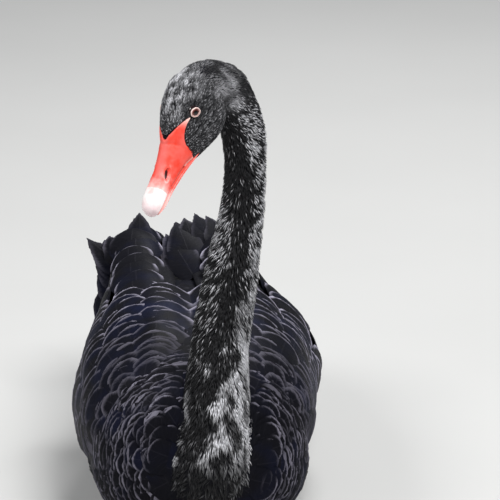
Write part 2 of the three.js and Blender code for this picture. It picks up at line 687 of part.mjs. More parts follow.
const middleGap = block([-0.5, -500, -50], [0.5, 600, 500]);
for (const [name, side] of [['left', 1], ['right', -1]]) {
  const plumes = PLUMES[name].map((feather) => plume(side, feather));
  const feathered = union([wingShell(side), ...wingFeathers(side), ...plumes]);
  const wing = feathered.subtract(torsoClear).subtract(middleGap).subtract(shank(side, GAP))
    .subtract(tailFan(GAP));
  node(`wing_${name}`, wing, BLACK_FEATHER);
}

export default swan;
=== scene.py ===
"""Dresses the solids of a black swan at rest: skin, feathers, bill, eyes, feet, floor, light and camera."""

import math

import bpy
import numpy as np
from bpy.props import FloatProperty, FloatVectorProperty, PointerProperty
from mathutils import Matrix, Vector
from mathutils.bvhtree import BVHTree


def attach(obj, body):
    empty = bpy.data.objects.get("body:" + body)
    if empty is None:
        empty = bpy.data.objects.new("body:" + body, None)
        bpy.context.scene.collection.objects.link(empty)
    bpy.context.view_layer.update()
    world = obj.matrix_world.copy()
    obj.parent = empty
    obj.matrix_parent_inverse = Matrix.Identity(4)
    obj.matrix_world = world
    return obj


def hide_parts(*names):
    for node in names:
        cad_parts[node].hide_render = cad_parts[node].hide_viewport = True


bl_info = {
    "name": "Black Swan",
    "version": (1, 0, 0),
    "blender": (4, 5, 0),
    "location": "View3D > Sidebar > Swan",
    "description": "Skin, feathers, bill, eyes and feet of a life-size black swan at rest",
    "category": "Add Mesh",
}

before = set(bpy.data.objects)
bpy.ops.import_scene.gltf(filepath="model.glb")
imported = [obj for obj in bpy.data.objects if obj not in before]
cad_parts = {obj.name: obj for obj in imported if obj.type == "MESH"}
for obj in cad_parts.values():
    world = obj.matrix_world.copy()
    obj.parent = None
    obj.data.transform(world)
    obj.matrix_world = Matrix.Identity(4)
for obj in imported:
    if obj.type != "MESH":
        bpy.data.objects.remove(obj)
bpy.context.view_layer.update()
MM = 0.001
TURN = 2 * math.pi
FLESH = ("torso", "neck_base", "neck_middle", "neck_upper", "head")
SIDES = ((1, "left"), (-1, "right"))


# Smooth curves and oval sections, in millimetres

def through(pairs):
    """A smooth curve through (place, value) pairs, level where the values turn."""
    x, y = np.array(pairs, float).T
    step = np.diff(x)
    secant = np.diff(y) / step
    before, after = secant[:-1], secant[1:]
    both = np.where(before * after > 0, before * after, 0)
    slope = np.zeros(len(x))
    slope[1:-1] = np.where(both > 0, 2 * both / np.where(both > 0, before + after, 1), 0)
    slope[0] = 1.5 * secant[0] - slope[1] / 2
    slope[-1] = 1.5 * secant[-1] - slope[-2] / 2

    def curve(place):
        place = np.clip(place, x[0], x[-1])
        i = np.clip(np.searchsorted(x, place, side="right") - 1, 0, len(x) - 2)
        t = (place - x[i]) / step[i]
        ease = t * t * (3 - 2 * t) * (y[i + 1] - y[i])
        return y[i] + ease + step[i] * t * (1 - t) * (slope[i] * (1 - t) - slope[i + 1] * t)

    return curve


def unit(vectors):
    length = np.linalg.norm(vectors, axis=-1, keepdims=True)
    return vectors / np.maximum(length, 1e-9)


def dot(a, b):
    return np.sum(a * b, axis=-1, keepdims=True)


def oval(centre, side, up, half, rise, fall, roundness, angle):
    """Points at angles round oval sections, each with its own reach up, down and to the sides."""
    power = 2 / roundness
    sine, cosine = np.sin(angle), np.cos(angle)
    across = np.sign(sine) * np.abs(sine) ** power
    along = np.sign(cosine) * np.abs(cosine) ** power
    reach = np.where(along > 0, rise, fall) * along
    return centre + side * (half * across)[..., None] + up * reach[..., None]


# The body

BODY_FRONT, BODY_REAR = -236, 318
BODY_ROUNDNESS = 2.3
BODY_WAIST = 0.43
body_top = through([(0, 120), (0.12, 192), (0.26, 220), (0.43, 228), (0.6, 215), (0.76, 190),
                    (0.9, 168), (1, 150)])
body_keel = through([(0, 120), (0.12, 50), (0.26, 12), (0.43, -3), (0.55, 2), (0.66, 26),
                     (0.78, 84), (0.9, 126), (1, 150)])
body_half = through([(0, 0), (0.12, 79), (0.26, 118), (0.41, 125), (0.58, 104), (0.76, 60),
                     (0.9, 28), (1, 0)])
UP = np.array([0.0, 0.0, 1.0])
ACROSS = np.array([1.0, 0.0, 0.0])


def body_point(place, angle):
    """The body's surface at a place from the breast, 0, to the rump, 1, and an angle from the back."""
    place = np.clip(place, 0.005, 0.995)
    top, keel = body_top(place), body_keel(place)
    waist = keel + BODY_WAIST * (top - keel)
    y = BODY_FRONT + (BODY_REAR - BODY_FRONT) * (1 - np.cos(math.pi * place)) / 2
    centre = np.stack([0 * y, y, waist], axis=-1)
    return oval(centre, ACROSS, UP, body_half(place), top - waist, waist - keel, BODY_ROUNDNESS, angle)


# The head's own frame: how far back from the bill's tip, out to its left and up

BILL_TIP = np.array([-65.5, -302.0, 434.0])
AIM = unit(np.array([-0.509, -0.53, -0.678]))
LEFT = unit(np.cross([-0.588, -0.361, 0.724], AIM))
CROWN = np.cross(AIM, LEFT)
HEAD_FRONT, HEAD_END = 68, 157
HEAD_WAIST = 0.42
HEAD_ROUNDNESS = 2.15
head_top = through([(68, 25), (74, 31.5), (84, 40), (96, 48), (108, 54.5), (120, 58), (132, 59.5),
                    (140, 57.5), (148, 52), (157, 36)])
head_bottom = through([(68, -8), (76, -12), (88, -16), (102, -19.5), (118, -22.5), (135, -19.5),
                       (148, -6), (157, 14)])
head_half = through([(68, 14.5), (74, 17), (86, 21), (100, 25), (116, 27.5), (130, 27),
                     (142, 23), (150, 17.5), (157, 4)])


def head_place(back, out, up):
    """The point this far back from the bill's tip, out to the left and up."""
    back, out, up = (np.asarray(value, float)[..., None] for value in (back, out, up))
    return BILL_TIP - AIM * back + LEFT * out + CROWN * up


def head_point(share, angle):
    """The head's surface at a share of its length, from the bill, and an angle from the crown."""
    back = HEAD_FRONT + (HEAD_END - HEAD_FRONT) * np.sin(math.pi / 2 * np.clip(share, 0, 1) ** 0.8)
    top, bottom = head_top(back), head_bottom(back)
    waist = bottom + HEAD_WAIST * (top - bottom)
    centre = head_place(back, 0 * back, waist)
    return oval(centre, LEFT, CROWN, head_half(back), top - waist, waist - bottom, HEAD_ROUNDNESS,
                angle)


def head_coordinates(points):
    """How far back, out and up points lie in the head's frame."""
    offset = points - BILL_TIP
    return -offset @ AIM, offset @ LEFT, offset @ CROWN


# The neck, from inside the breast up and over to the back of the head

NAPE = tuple(head_place(126, 0, 29))
NECK = (
    ((0, -110, 100), 64, 66, 72, (0, 0.2, 1)),
    ((2, -165, 104), 64, 60, 66, (0, 0.45, 0.9)),
    ((6, -202, 132), 49, 54, 60, (0, 0.85, 0.5)),
    ((11, -211, 172), 39.5, 48, 51, (0, 1, 0.1)),
    ((14, -208, 214), 35.5, 43, 43, (0, 1, 0)),
    ((18, -201, 258), 32, 37, 37, (0, 1, 0)),
    ((26, -195, 305), 31.5, 33, 33, (0, 1, 0)),
    ((34, -191, 352), 28.5, 30, 30, (0, 1, 0)),
    ((42, -192, 400), 25, 26, 26, (0, 1, 0)),
    ((45, -196, 448), 23.5, 25, 24, (0.1, 1, 0.05)),
    ((42, -200, 494), 25, 24.5, 24, (0.5, 0.8, 0.3)),
    ((35, -204, 519), 25.5, 24, 25, (0.6, 0.6, 0.6)),
    ((20, -213, 541), 26, 30.5, 24, (0.3, 0.3, 0.9)),
    ((-3, -231, 550), 25, 30, 24, (-0.3, -0.1, 0.95)),
    (NAPE, 20, 26, 20, (-0.588, -0.361, 0.724)),
)
NECK_LAST = len(NECK) - 1
neck_at = np.array([station[0] for station in NECK], float)
neck_dorsal = np.array([station[4] for station in NECK], float)
neck_half, neck_back, neck_front = (
    through([(i, station[key]) for i, station in enumerate(NECK)]) for key in (1, 2, 3))


def neck_centre(t):
    """The neck's course, a centripetal curve through its stations."""
    ends = np.vstack([2 * neck_at[0] - neck_at[1], neck_at, 2 * neck_at[-1] - neck_at[-2]])
    i = np.clip(np.floor(t).astype(int), 0, NECK_LAST - 1)
    w = (t - i)[..., None]
    p0, p1, p2, p3 = (ends[i + k] for k in range(4))
    d0, d1, d2 = (np.sqrt(np.linalg.norm(b - a, axis=-1, keepdims=True))
                  for a, b in ((p0, p1), (p1, p2), (p2, p3)))
    m1 = d1 * ((p1 - p0) / d0 - (p2 - p0) / (d0 + d1) + (p2 - p1) / d1)
    m2 = d1 * ((p2 - p1) / d1 - (p3 - p1) / (d1 + d2) + (p3 - p2) / d2)
    return p1 + w * (m1 + w * ((3 * (p2 - p1) - 2 * m1 - m2) + w * (m1 + m2 - 2 * (p2 - p1))))


def neck_point(share, angle):
    """The neck's surface at a share of its length from the head down, and an angle from its back."""
    t = NECK_LAST * (1 - np.clip(share, 0.001, 0.999))
    course = unit(neck_centre(t + 0.004) - neck_centre(t - 0.004))
    i = np.clip(np.floor(t).astype(int), 0, NECK_LAST - 1)
    w = (t - i)[..., None]
    dorsal = neck_dorsal[i] * (1 - w) + neck_dorsal[i + 1] * w
    dorsal = unit(dorsal - course * dot(dorsal, course))
    side = np.cross(dorsal, course)
    return oval(neck_centre(t), side, dorsal, neck_half(t), neck_back(t), neck_front(t), 2, angle)


# The folded wings, over the body from the back's middle line down the flank

WING_FRONT, WING_REAR = 0.24, 0.87
WING_LENGTH = 545
WING_EDGE, WING_RIM, WING_CREST, WING_BULGE = 3, 8, 40, 46
wing_upper = through([(0, 0.4), (0.2, 0.09), (0.7, 0.03), (1, 0.12)])
wing_lower = {1: through([(0, 1.3), (0.25, 1.72), (0.55, 2.05), (0.75, 2.05), (1, 1.5)]),
              -1: through([(0, 1.3), (0.25, 1.72), (0.6, 1.78), (1, 1.5)])}


def swell(value, middle, spread):
    """A rounded rise to 1 at the middle, which fades over the spread."""
    return np.exp(-(((value - middle) / spread) ** 2))


def wing_height(along, down, side):
    """How far the wing stands off the body: a crest on the back, and a loose bulge on the left flank."""
    rim = np.sqrt(np.sin(math.pi * np.minimum(along, 0.5)).clip(0)
                  * np.sin(math.pi * down.clip(0, 1)).clip(0))
    crest = WING_CREST * swell(along, 0.84, 0.24) * swell(down, 0.26, 0.2)
    flank = WING_BULGE * swell(along, 0.6, 0.19) * swell(down, 0.7, 0.23) if side > 0 else 0
    return WING_EDGE + WING_RIM * rim + (crest + flank) * np.minimum(1, 3 * rim)


def wing_point(along, down, side):
    """The wing's outer face, carried straight on behind its rear rim."""
    inside = np.minimum(along, 1)
    place = WING_FRONT + (WING_REAR - WING_FRONT) * inside
    upper, lower = wing_upper(inside), wing_lower[side](inside)
    angle = side * (upper + (lower - upper) * down)
    normal = Surface(body_point).normal(place, angle)
    point = body_point(place, angle) + normal * wing_height(inside, down, side)[..., None]
    beyond = (along - inside) * (BODY_REAR - BODY_FRONT) * (WING_REAR - WING_FRONT)
    return point + np.array([-0.12 * side, 1, -0.12]) * beyond[..., None]


class Surface:
    """A surface of two numbers: the first runs the way the feathers lie, the second runs round it."""

    def __init__(self, point, outward=1):
        self.point = point
        self.outward = outward

    def steps(self, u, v, step=0.004):
        along = self.point(u + step, v) - self.point(u - step, v)
        around = self.point(u, v + step) - self.point(u, v - step)
        return along / (2 * step), around / (2 * step)

    def normal(self, u, v):
        along, around = self.steps(u, v)
        return unit(np.cross(around, along)) * self.outward

    def frame(self, u, v):
        """The point, the lie, the normal and the length of a unit step along and around."""
        along, around = self.steps(u, v)
        normal = unit(np.cross(around, along)) * self.outward
        paces = np.linalg.norm(along, axis=-1), np.linalg.norm(around, axis=-1)
        return self.point(u, v), unit(along), normal, *paces


body_surface = Surface(body_point)
head_surface = Surface(head_point)
neck_surface = Surface(neck_point)
wing_surface = {side: Surface(lambda u, v, side=side: wing_point(u, v, side), side)
                for side in (1, -1)}


# Shader nodes written as sums

class Wire:
    """A shader socket that takes part in sums as a number does."""

    def __init__(self, shader, socket):
        self.shader = shader
        self.socket = socket

    def math(self, operation, *values):
        return self.shader.node("ShaderNodeMath", {"operation": operation}, dict(enumerate(values)))

    def __add__(self, other):
        return self.math("ADD", self, other)

    def __sub__(self, other):
        return self.math("SUBTRACT", self, other)

    def __rsub__(self, other):
        return self.math("SUBTRACT", other, self)

    def __mul__(self, other):
        return self.math("MULTIPLY", self, other)

    def __abs__(self):
        return self.math("ABSOLUTE", self)

    __radd__ = __add__
    __rmul__ = __mul__


class Shader:
    """A material with one Principled shader, and the nodes that feed it."""

    def __init__(self, name, **constants):
        self.material = bpy.data.materials.new(name)
        self.material.use_nodes = True
        self.tree = self.material.node_tree
        self.surface = self.tree.nodes["Principled BSDF"]
        for socket, value in constants.items():
            self.surface.inputs[socket.replace("_", " ")].default_value = value

    def node(self, kind, settings=None, inputs=None, output=0):
        """Adds a node with its settings, and the values or links of its sockets."""
        node = self.tree.nodes.new(kind)
        for key, value in (settings or {}).items():
            setattr(node, key, value)
        for key, value in (inputs or {}).items():
            self.put(node.inputs[key], value)
        return Wire(self, node.outputs[output])

    def put(self, socket, value):
        if isinstance(value, Wire):
            self.tree.links.new(value.socket, socket)
        elif hasattr(socket.default_value, "__len__") and len(socket.default_value) == 4:
            socket.default_value = (*value[:3], 1)
        else:
            socket.default_value = value

    def feed(self, socket, value):
        self.put(self.surface.inputs[socket], value)

    def parts(self, name):
        """The three numbers that a piece keeps at each point under this name."""
        stored = self.node("ShaderNodeAttribute", {"attribute_name": name}, output="Vector")
        return [self.node("ShaderNodeSeparateXYZ", {}, {0: stored}, axis) for axis in range(3)]

    def vector(self, x, y, z):
        return self.node("ShaderNodeCombineXYZ", {}, {0: x, 1: y, 2: z})

    def noise(self, scale, detail=2.0, at=None, rough=0.5):
        at = at or self.node("ShaderNodeTexCoord", output="Object")
        inputs = {"Vector": at, "Scale": scale, "Detail": detail, "Roughness": rough}
        return self.node("ShaderNodeTexNoise", {}, inputs)

    def ease(self, value, low, high):
        """Rises smoothly from 0 to 1 as the value goes from low to high."""
        inputs = {"Value": value, "From Min": low, "From Max": high}
        return self.node("ShaderNodeMapRange", {"interpolation_type": "SMOOTHSTEP"}, inputs)

    def mix(self, share, first, second):
        """Goes from the first colour to the second by a share from 0 to 1."""
        return self.node("ShaderNodeMix", {"data_type": "RGBA"}, {0: share, 6: first, 7: second}, 2)

    def bump(self, height, strength, distance):
        inputs = {"Strength": strength, "Distance": distance, "Height": height}
        self.feed("Normal", self.node("ShaderNodeBump", {}, inputs))


# Meshes from arrays of points in millimetres

def fill(name, points, groups, sharp=None):
    """A smooth mesh from points and arrays of faces, with an edge kept sharp between sharp points."""
    mesh = bpy.data.meshes.new(name)
    corners = np.concatenate([group.ravel() for group in groups])
    sizes = np.concatenate([np.full(len(group), group.shape[1]) for group in groups])
    starts = np.concatenate([[0], np.cumsum(sizes)[:-1]])
    mesh.vertices.add(len(points))
    mesh.vertices.foreach_set("co", (points * MM).astype(np.float32).ravel())
    mesh.loops.add(len(corners))
    mesh.loops.foreach_set("vertex_index", corners.astype(np.int32))
    mesh.polygons.add(len(sizes))
    mesh.polygons.foreach_set("loop_start", starts.astype(np.int32))
    mesh.update(calc_edges=True)
    mesh.shade_smooth()
    if sharp is not None:
        ends = np.empty(2 * len(mesh.edges), np.int32)
        mesh.edges.foreach_get("vertices", ends)
        keen = sharp[ends.reshape(-1, 2)].all(axis=1)
        mesh.attributes.new("sharp_edge", "BOOLEAN", "EDGE").data.foreach_set("value", keen)
    return mesh


def keep(mesh, **fields):
    """Stores three numbers at each point under each name."""
    for name, values in fields.items():
        layer = mesh.attributes.new(name, "FLOAT_VECTOR", "POINT")
        layer.data.foreach_set("vector", values.astype(np.float32).ravel())


def unwrap(mesh, places):
    """The map OFBake, from a place on the unwrapped skin for each point."""
    layer = mesh.uv_layers.new(name="OFBake")
    corners = np.empty(len(mesh.loops), np.int32)
    mesh.loops.foreach_get("vertex_index", corners)
    layer.uv.foreach_set("vector", places[corners].astype(np.float32).ravel())


def show(name, mesh, material, slot, *nodes):
    """Adds a piece to the scene, on the model's one body and in place of its nodes."""
    piece = bpy.data.objects.new(name, mesh)
    mesh.materials.clear()
    mesh.materials.append(material)
    bpy.context.collection.objects.link(piece)
    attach(piece, "root")
    if nodes:
        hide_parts(*nodes)
    return piece


def grid_faces(rows, columns, wrap=False, flip=False):
    """Faces over a grid of points, closed round its columns where it wraps."""
    count = columns if wrap else columns - 1
    row, column = np.meshgrid(np.arange(rows - 1), np.arange(count), indexing="ij")
    beside = (column + 1) % columns
    faces = np.stack([row * columns + column, row * columns + beside,
                      (row + 1) * columns + beside, (row + 1) * columns + column], axis=-1)
    faces = faces.reshape(-1, 4)
    return faces[:, ::-1] if flip else faces


def loft(rings, flip=False):
    """Points and faces of a closed skin over rings of points, with a face over each end."""
    rows, columns = rings.shape[:2]
    first = np.arange(columns)[None, ::-1]
    last = np.arange(columns)[None, :] + (rows - 1) * columns
    ends = [first[:, ::-1], last[:, ::-1]] if flip else [first, last]
    return rings.reshape(-1, 3), [grid_faces(rows, columns, True, flip), *ends]


def slab(outer, inner, flip=False):
    """Points and faces of a closed plate between two grids of points."""
    rows, columns = outer.shape[:2]
    count = rows * columns
    index = np.arange(count).reshape(rows, columns)
    border = np.concatenate([index[0, :-1], index[:-1, -1], index[-1, :0:-1], index[:0:-1, 0]])
    beyond = np.roll(border, -1)
    top = grid_faces(rows, columns, flip=flip)
    wall = np.stack([beyond, border, border + count, beyond + count], axis=-1)
    wall = wall[:, ::-1] if flip else wall
    points = np.concatenate([outer.reshape(-1, 3), inner.reshape(-1, 3)])
    return points, [top, top[:, ::-1] + count, wall]


def join(solids):
    """One set of points and faces from several."""
    points, groups, count = [], [], 0
    for some, faces in solids:
        groups += [group + count for group in faces]
        points.append(some)
        count += len(some)
    return np.concatenate(points), groups


def blend_solids(name, solids, cell, rounds):
    """Melts overlapping closed solids into one smooth skin."""
    rough = bpy.data.objects.new(name, fill(name, *join(solids)))
    bpy.context.collection.objects.link(rough)
    melt = rough.modifiers.new("melt", "REMESH")
    melt.mode = "VOXEL"
    melt.voxel_size = cell * MM
    ease = rough.modifiers.new("ease", "SMOOTH")
    ease.iterations = rounds
    ease.factor = 0.5
    graph = bpy.context.evaluated_depsgraph_get()
    mesh = bpy.data.meshes.new_from_object(rough.evaluated_get(graph))
    bpy.data.objects.remove(rough)
    mesh.shade_smooth()
    return mesh


def mesh_points(mesh):
    points = np.empty(3 * len(mesh.vertices), np.float32)
    mesh.vertices.foreach_get("co", points)
    return points.reshape(-1, 3).astype(float) / MM


def move_points(mesh, points):
    mesh.vertices.foreach_set("co", (points * MM).astype(np.float32).ravel())
    mesh.update()


# The skin under the feathers

BODY_COAT, HEAD_COAT = 5.0, 1.6
neck_coat = through([(0, 1.8), (0.12, 1.8), (0.4, 4.0), (1, 4.5)])
LOWEST = 0.4
BURIED = 3.0
SKIN_CELL, SKIN_ROUNDS = 2.4, 12
skin = {}


def rings(surface, first, last, count, sides, depth):
    """Rings of points round a surface, sunk by the coat's depth at each."""
    u, v = np.meshgrid(np.linspace(first, last, count), np.arange(sides) / sides * TURN, indexing="ij")
    return surface.point(u, v) - surface.normal(u, v) * depth(u)[..., None]


def make_skin():
    """The body, neck and head as one skin, sunk by the depth of the coat."""
    solids = [
        loft(rings(body_surface, 0.012, 0.985, 80, 72, lambda u: BODY_COAT + 0 * u), True),
        loft(rings(neck_surface, 0.01, 0.97, 160, 48, neck_coat), True),
        loft(rings(head_surface, 0.02, 0.985, 48, 48, lambda u: HEAD_COAT + 0 * u), True),
    ]
    mesh = blend_solids("swan_skin", solids, SKIN_CELL, SKIN_ROUNDS)
    points = mesh_points(mesh)
    points[:, 2] = np.maximum(points[:, 2], LOWEST)
    move_points(mesh, points)
    faces = [tuple(face.vertices) for face in mesh.polygons]
    skin["tree"] = BVHTree.FromPolygons(points.tolist(), faces)
    return mesh


def rest_on_skin(points, lies):
    """Roots on the skin with their lie and normal, and which of them aren't buried in it."""
    roots, normals, kept = np.empty_like(points), np.empty_like(points), np.zeros(len(points), bool)
    for i, point in enumerate(points):
        spot, normal, _, _ = skin["tree"].find_nearest(Vector(point))
        roots[i], normals[i] = spot, normal
        kept[i] = (Vector(point) - spot).dot(normal) > -BURIED
    lies = unit(lies - normals * dot(lies, normals))
    return roots, lies, normals, kept


# Where feathers grow: rows down a surface, and evenly spaced places round each row

def rows_of(surface, first, last, pitch, gap, rng, sides=96):
    """Places (u, v) in rows a pitch apart, at gaps round each row, both functions of the share u."""
    places = []
    u = first
    angles = np.linspace(0, TURN, sides + 1)
    while u < last:
        ring = surface.point(np.full(sides + 1, u), angles)
        ahead = surface.point(np.full(sides + 1, u + 0.004), angles)
        pace = np.linalg.norm(ahead - ring, axis=-1).mean() / 0.004
        length = np.concatenate([[0], np.cumsum(np.linalg.norm(np.diff(ring, axis=0), axis=-1))])
        count = max(int(length[-1] / gap(u)), 6)
        spots = (np.arange(count) + rng.uniform(0, 1) + rng.uniform(-0.3, 0.3, count)) / count
        v = np.interp((spots % 1) * length[-1], length, angles)
        wander = rng.uniform(-0.3, 0.3, count) * pitch(u) / pace
        places.append(np.stack([u + wander, v], axis=-1))
        u += pitch(u) / pace
    return np.concatenate(places).T


def on_unwrap(u, v, share):
    """Where places on a skin lie on its unwrap, kept within a share of the map."""
    return np.stack([v / TURN, u], axis=-1) * share


# Feathers

# How far along and across its tuft each of a blade's points lies, and the size of its patch on the map
BLADE_ALONG = np.array([0, 0, 0, 0.5, 0.5, 0.5, 1.0])
BLADE_ACROSS = np.array([-0.5, 0.5, 0, -0.5, 0.5, 0, 0])
BLADE_POINTS = len(BLADE_ALONG)
PATCH = 0.003


def blades(roots, lies, normals, length, half, lift, sink=0.5):
    """Small closed tufts: three-sided, from a sunk root through a middle to a point."""
    side = np.cross(lies, normals)
    length, half, lift = (np.broadcast_to(value, len(roots))[:, None] for value in (length, half, lift))
    base = roots - normals * sink
    middle = roots + lies * length * 0.5 + normals * lift * 0.62
    tip = roots + lies * length + normals * lift
    points = np.stack([
        base - side * half * 0.8,
        base + side * half * 0.8,
        base + normals * half * 0.8,
        middle - side * half,
        middle + side * half,
        middle + normals * half * 0.7,
        tip,
    ], axis=1)
    quads = np.array([[0, 3, 4, 1], [1, 4, 5, 2], [2, 5, 3, 0]])
    thirds = np.array([[3, 6, 4], [4, 6, 5], [5, 6, 3], [0, 1, 2]])
    start = np.arange(len(roots))[:, None, None] * BLADE_POINTS
    groups = [(quads + start).reshape(-1, 4), (thirds + start).reshape(-1, 3)]
    return points.reshape(-1, 3), groups


def blade_piece(name, tufts, tone, places, material, slot):
    """One piece of small tufts, each with its tone (pale, the strength of its painted highlight; chance)
    and its place on the skin's unwrap.
    """
    mesh = fill(name, *tufts)
    along = np.tile(BLADE_ALONG, len(tone))
    spread = np.repeat(tone, BLADE_POINTS, axis=0)
    keep(mesh, tone=np.stack([spread[:, 0], spread[:, 1], along], axis=-1))
    corner = np.stack([np.tile(BLADE_ACROSS, len(tone)), along], axis=-1) * PATCH
    unwrap(mesh, np.repeat(places, BLADE_POINTS, axis=0) + corner)
    return show(name, mesh, material, slot)


def round_outline(t, root=0.5):
    """A vane's width along it: narrow at the root, full past the middle and round at the tip."""
    swelling = root + (1 - root) * np.sin(math.pi / 2 * np.clip(t / 0.55, 0, 1))
    end = np.sqrt(np.clip(1 - (np.clip(t - 0.55, 0, 1) / 0.452) ** 2, 0, 1))
    return swelling * end


def broad_outline(t):
    """A vane's width along it, nearly full from its root."""
    return round_outline(t, 0.85)


def pointed_outline(t):
    """A vane's width along it, full before the middle and drawn out to a point."""
    swelling = 0.5 + 0.5 * np.sin(math.pi / 2 * np.clip(t / 0.45, 0, 1))
    return swelling * (1 - (np.clip(t - 0.45, 0, 1) / 0.552) ** 1.7)


FRAYED = 1.5


def vanes(sheet, length, half, lift, rows, columns, rng, outline=round_outline, sink=4.0, camber=0.12,
          curl=0.0, fray=0.0):
    """Closed feather vanes over a sheet that gives points and normals for millimetres along and across.

    Gives the points, the faces, which points lie on a sharp edge, and how far across, along and in from
    the rim each point lies.
    """
    count = len(length)
    t = 1 - (1 - np.linspace(0, 1, rows)) ** 1.5
    s = np.linspace(-1, 1, columns)
    length, half, lift, camber = (
        np.broadcast_to(value, count)[:, None, None] for value in (length, half, lift, camber))
    width = outline(t)[None, :, None]
    along = length * t[None, :, None] + 0 * s
    across = half * width * s
    rim = np.minimum((1 - np.abs(s)) * width * half, length * (1 - t)[None, :, None] + 0 * s)
    loose = np.clip(1 - rim / FRAYED, 0, 1)
    along = along + fray * loose * rng.uniform(-1, 1, along.shape) * t[None, :, None]
    across = across + 0.5 * fray * loose * rng.uniform(-1, 1, across.shape)
    points, normals = sheet(along, across)
    rise = lift * t[None, :, None] - sink * np.clip(1 - 4.5 * t, 0, 1)[None, :, None]
    rise = rise - curl * (np.clip(t - 0.7, 0, 1) / 0.3)[None, :, None] ** 2
    rise = rise + camber * half * width * (1 - s * s)
    rise = rise + 0.5 * fray * loose * rng.uniform(-1, 1, rise.shape)
    points = points + normals * rise[..., None]
    cell = grid_faces(rows, columns)
    left = np.arange(rows - 1) * columns
    under = np.stack([left, left + columns, left + 2 * columns - 1, left + columns - 1], axis=-1)
    root = np.arange(columns)[None, ::-1]
    tip = np.arange(columns)[None, :] + (rows - 1) * columns
    start = np.arange(count)[:, None, None] * rows * columns
    groups = [(faces + start).reshape(-1, faces.shape[1]) for faces in (cell, under, root, tip)]
    edge = np.zeros((rows, columns), bool)
    edge[:, [0, -1]] = True
    edge[[0, -1], :] = True
    vane = np.stack([across, along, rim + 0 * along], axis=-1)
    return points.reshape(-1, 3), groups, np.tile(edge.ravel(), count), vane.reshape(-1, 3)


def vane_piece(name, feathers, tone, places, cell, material, slot, *nodes):
    """One piece of vanes, each with its tone (pale, the strength of the painted highlight on its fringe;
    chance; sheen, the strength of its painted sheen) and its patch on the skin's unwrap.
    """
    points, groups, edge, vane = feathers
    each = len(points) // len(tone)
    points[:, 2] = np.maximum(points[:, 2], LOWEST)
    mesh = fill(name, points, groups, edge)
    keep(mesh, vane=vane, tone=np.repeat(tone, each, axis=0))
    flat = vane.reshape(len(tone), each, 3)[..., :2]
    low, high = flat.min(axis=1, keepdims=True), flat.max(axis=1, keepdims=True)
    patch = (flat - low) / (high - low) * cell
    unwrap(mesh, (places[:, None, :] + patch).reshape(-1, 2))
    return show(name, mesh, material, slot, *nodes)


def flat_sheet(roots, lies, normals, round_over=0.0):
    """A sheet of straight feathers, bent down over the body by their length squared."""
    side = np.cross(lies, normals)

    def sheet(along, across):
        drop = round_over * along ** 2
        points = (roots[:, None, None] + lies[:, None, None] * along[..., None]
                  + side[:, None, None] * across[..., None] - normals[:, None, None] * drop[..., None])
        return points, normals[:, None, None]

    return sheet


# Finishes

def feather_finish(name, base, fringe, sheen, width, tips=(14.0, 36.0)):
    """Vanes with barbs, a shaft, a painted blue sheen and a frayed fringe this many millimetres wide,
    painted pale as a highlight.
    """
    shader = Shader(name, IOR=1.18, Specular_IOR_Level=0.2)
    across, along, rim = shader.parts("vane")
    pale, chance, gloss = shader.parts("tone")
    barb = along - abs(across) * 0.7
    lane = shader.vector(barb * 0.9, across * 0.06, chance * 90)
    streak = shader.noise(1.0, 2.0, lane, 0.6)
    cloud = shader.noise(26.0, 2.0)
    # Painted reflection: blue sheen mixed into the dark vane where the tone's sheen number and the noise
    # are high.
    colour = shader.mix(shader.ease(cloud, 0.35, 0.75) * gloss, base, sheen)
    colour = shader.mix(shader.ease(streak, 0.5, 0.8) * 0.012, colour, fringe)
    shaft = 1 - shader.ease(abs(across), 0.3, 0.9)
    colour = shader.mix(shaft * 0.01, colour, fringe)
    # Painted highlight: the pale fringe colour along the rims towards the tips, as strong as the tone's
    # pale number.
    tip = shader.ease(along - abs(across) * 0.6, *tips)
    edge = (1 - shader.ease(rim + (streak - 0.5) * width * 1.4, 0.2, width)) * tip
    shader.feed("Base Color", shader.mix(edge * pale, colour, fringe))
    shader.feed("Roughness", 0.5 + edge * 0.2)
    shader.bump(streak + shaft * 0.6, 0.35, 0.0006)
    return shader.material


def tuft_finish(name, dark, bright):
    """Small tufts, dark at the root and brightening towards the point with a painted highlight where they
    are pale.
    """
    shader = Shader(name, IOR=1.25, Specular_IOR_Level=0.5)
    pale, chance, along = shader.parts("tone")
    # Painted highlight: the bright colour towards the point stands in for light caught on the tufts.
    share = pale * shader.ease(along, 0.0, 0.5)
    shader.feed("Base Color", shader.mix(share, dark, bright))
    shader.feed("Roughness", 0.48 + chance * 0.2)
    return shader.material


def skin_finish():
    shader = Shader("down_under_the_feathers", Roughness=0.8, Specular_IOR_Level=0.1)
    fluff = shader.noise(420.0, 3.0)
    shader.feed("Base Color", shader.mix(shader.ease(fluff, 0.3, 0.8), (0.004, 0.004, 0.006),
                                         (0.012, 0.012, 0.016)))
    shader.bump(fluff, 0.5, 0.0008)
    return shader.material


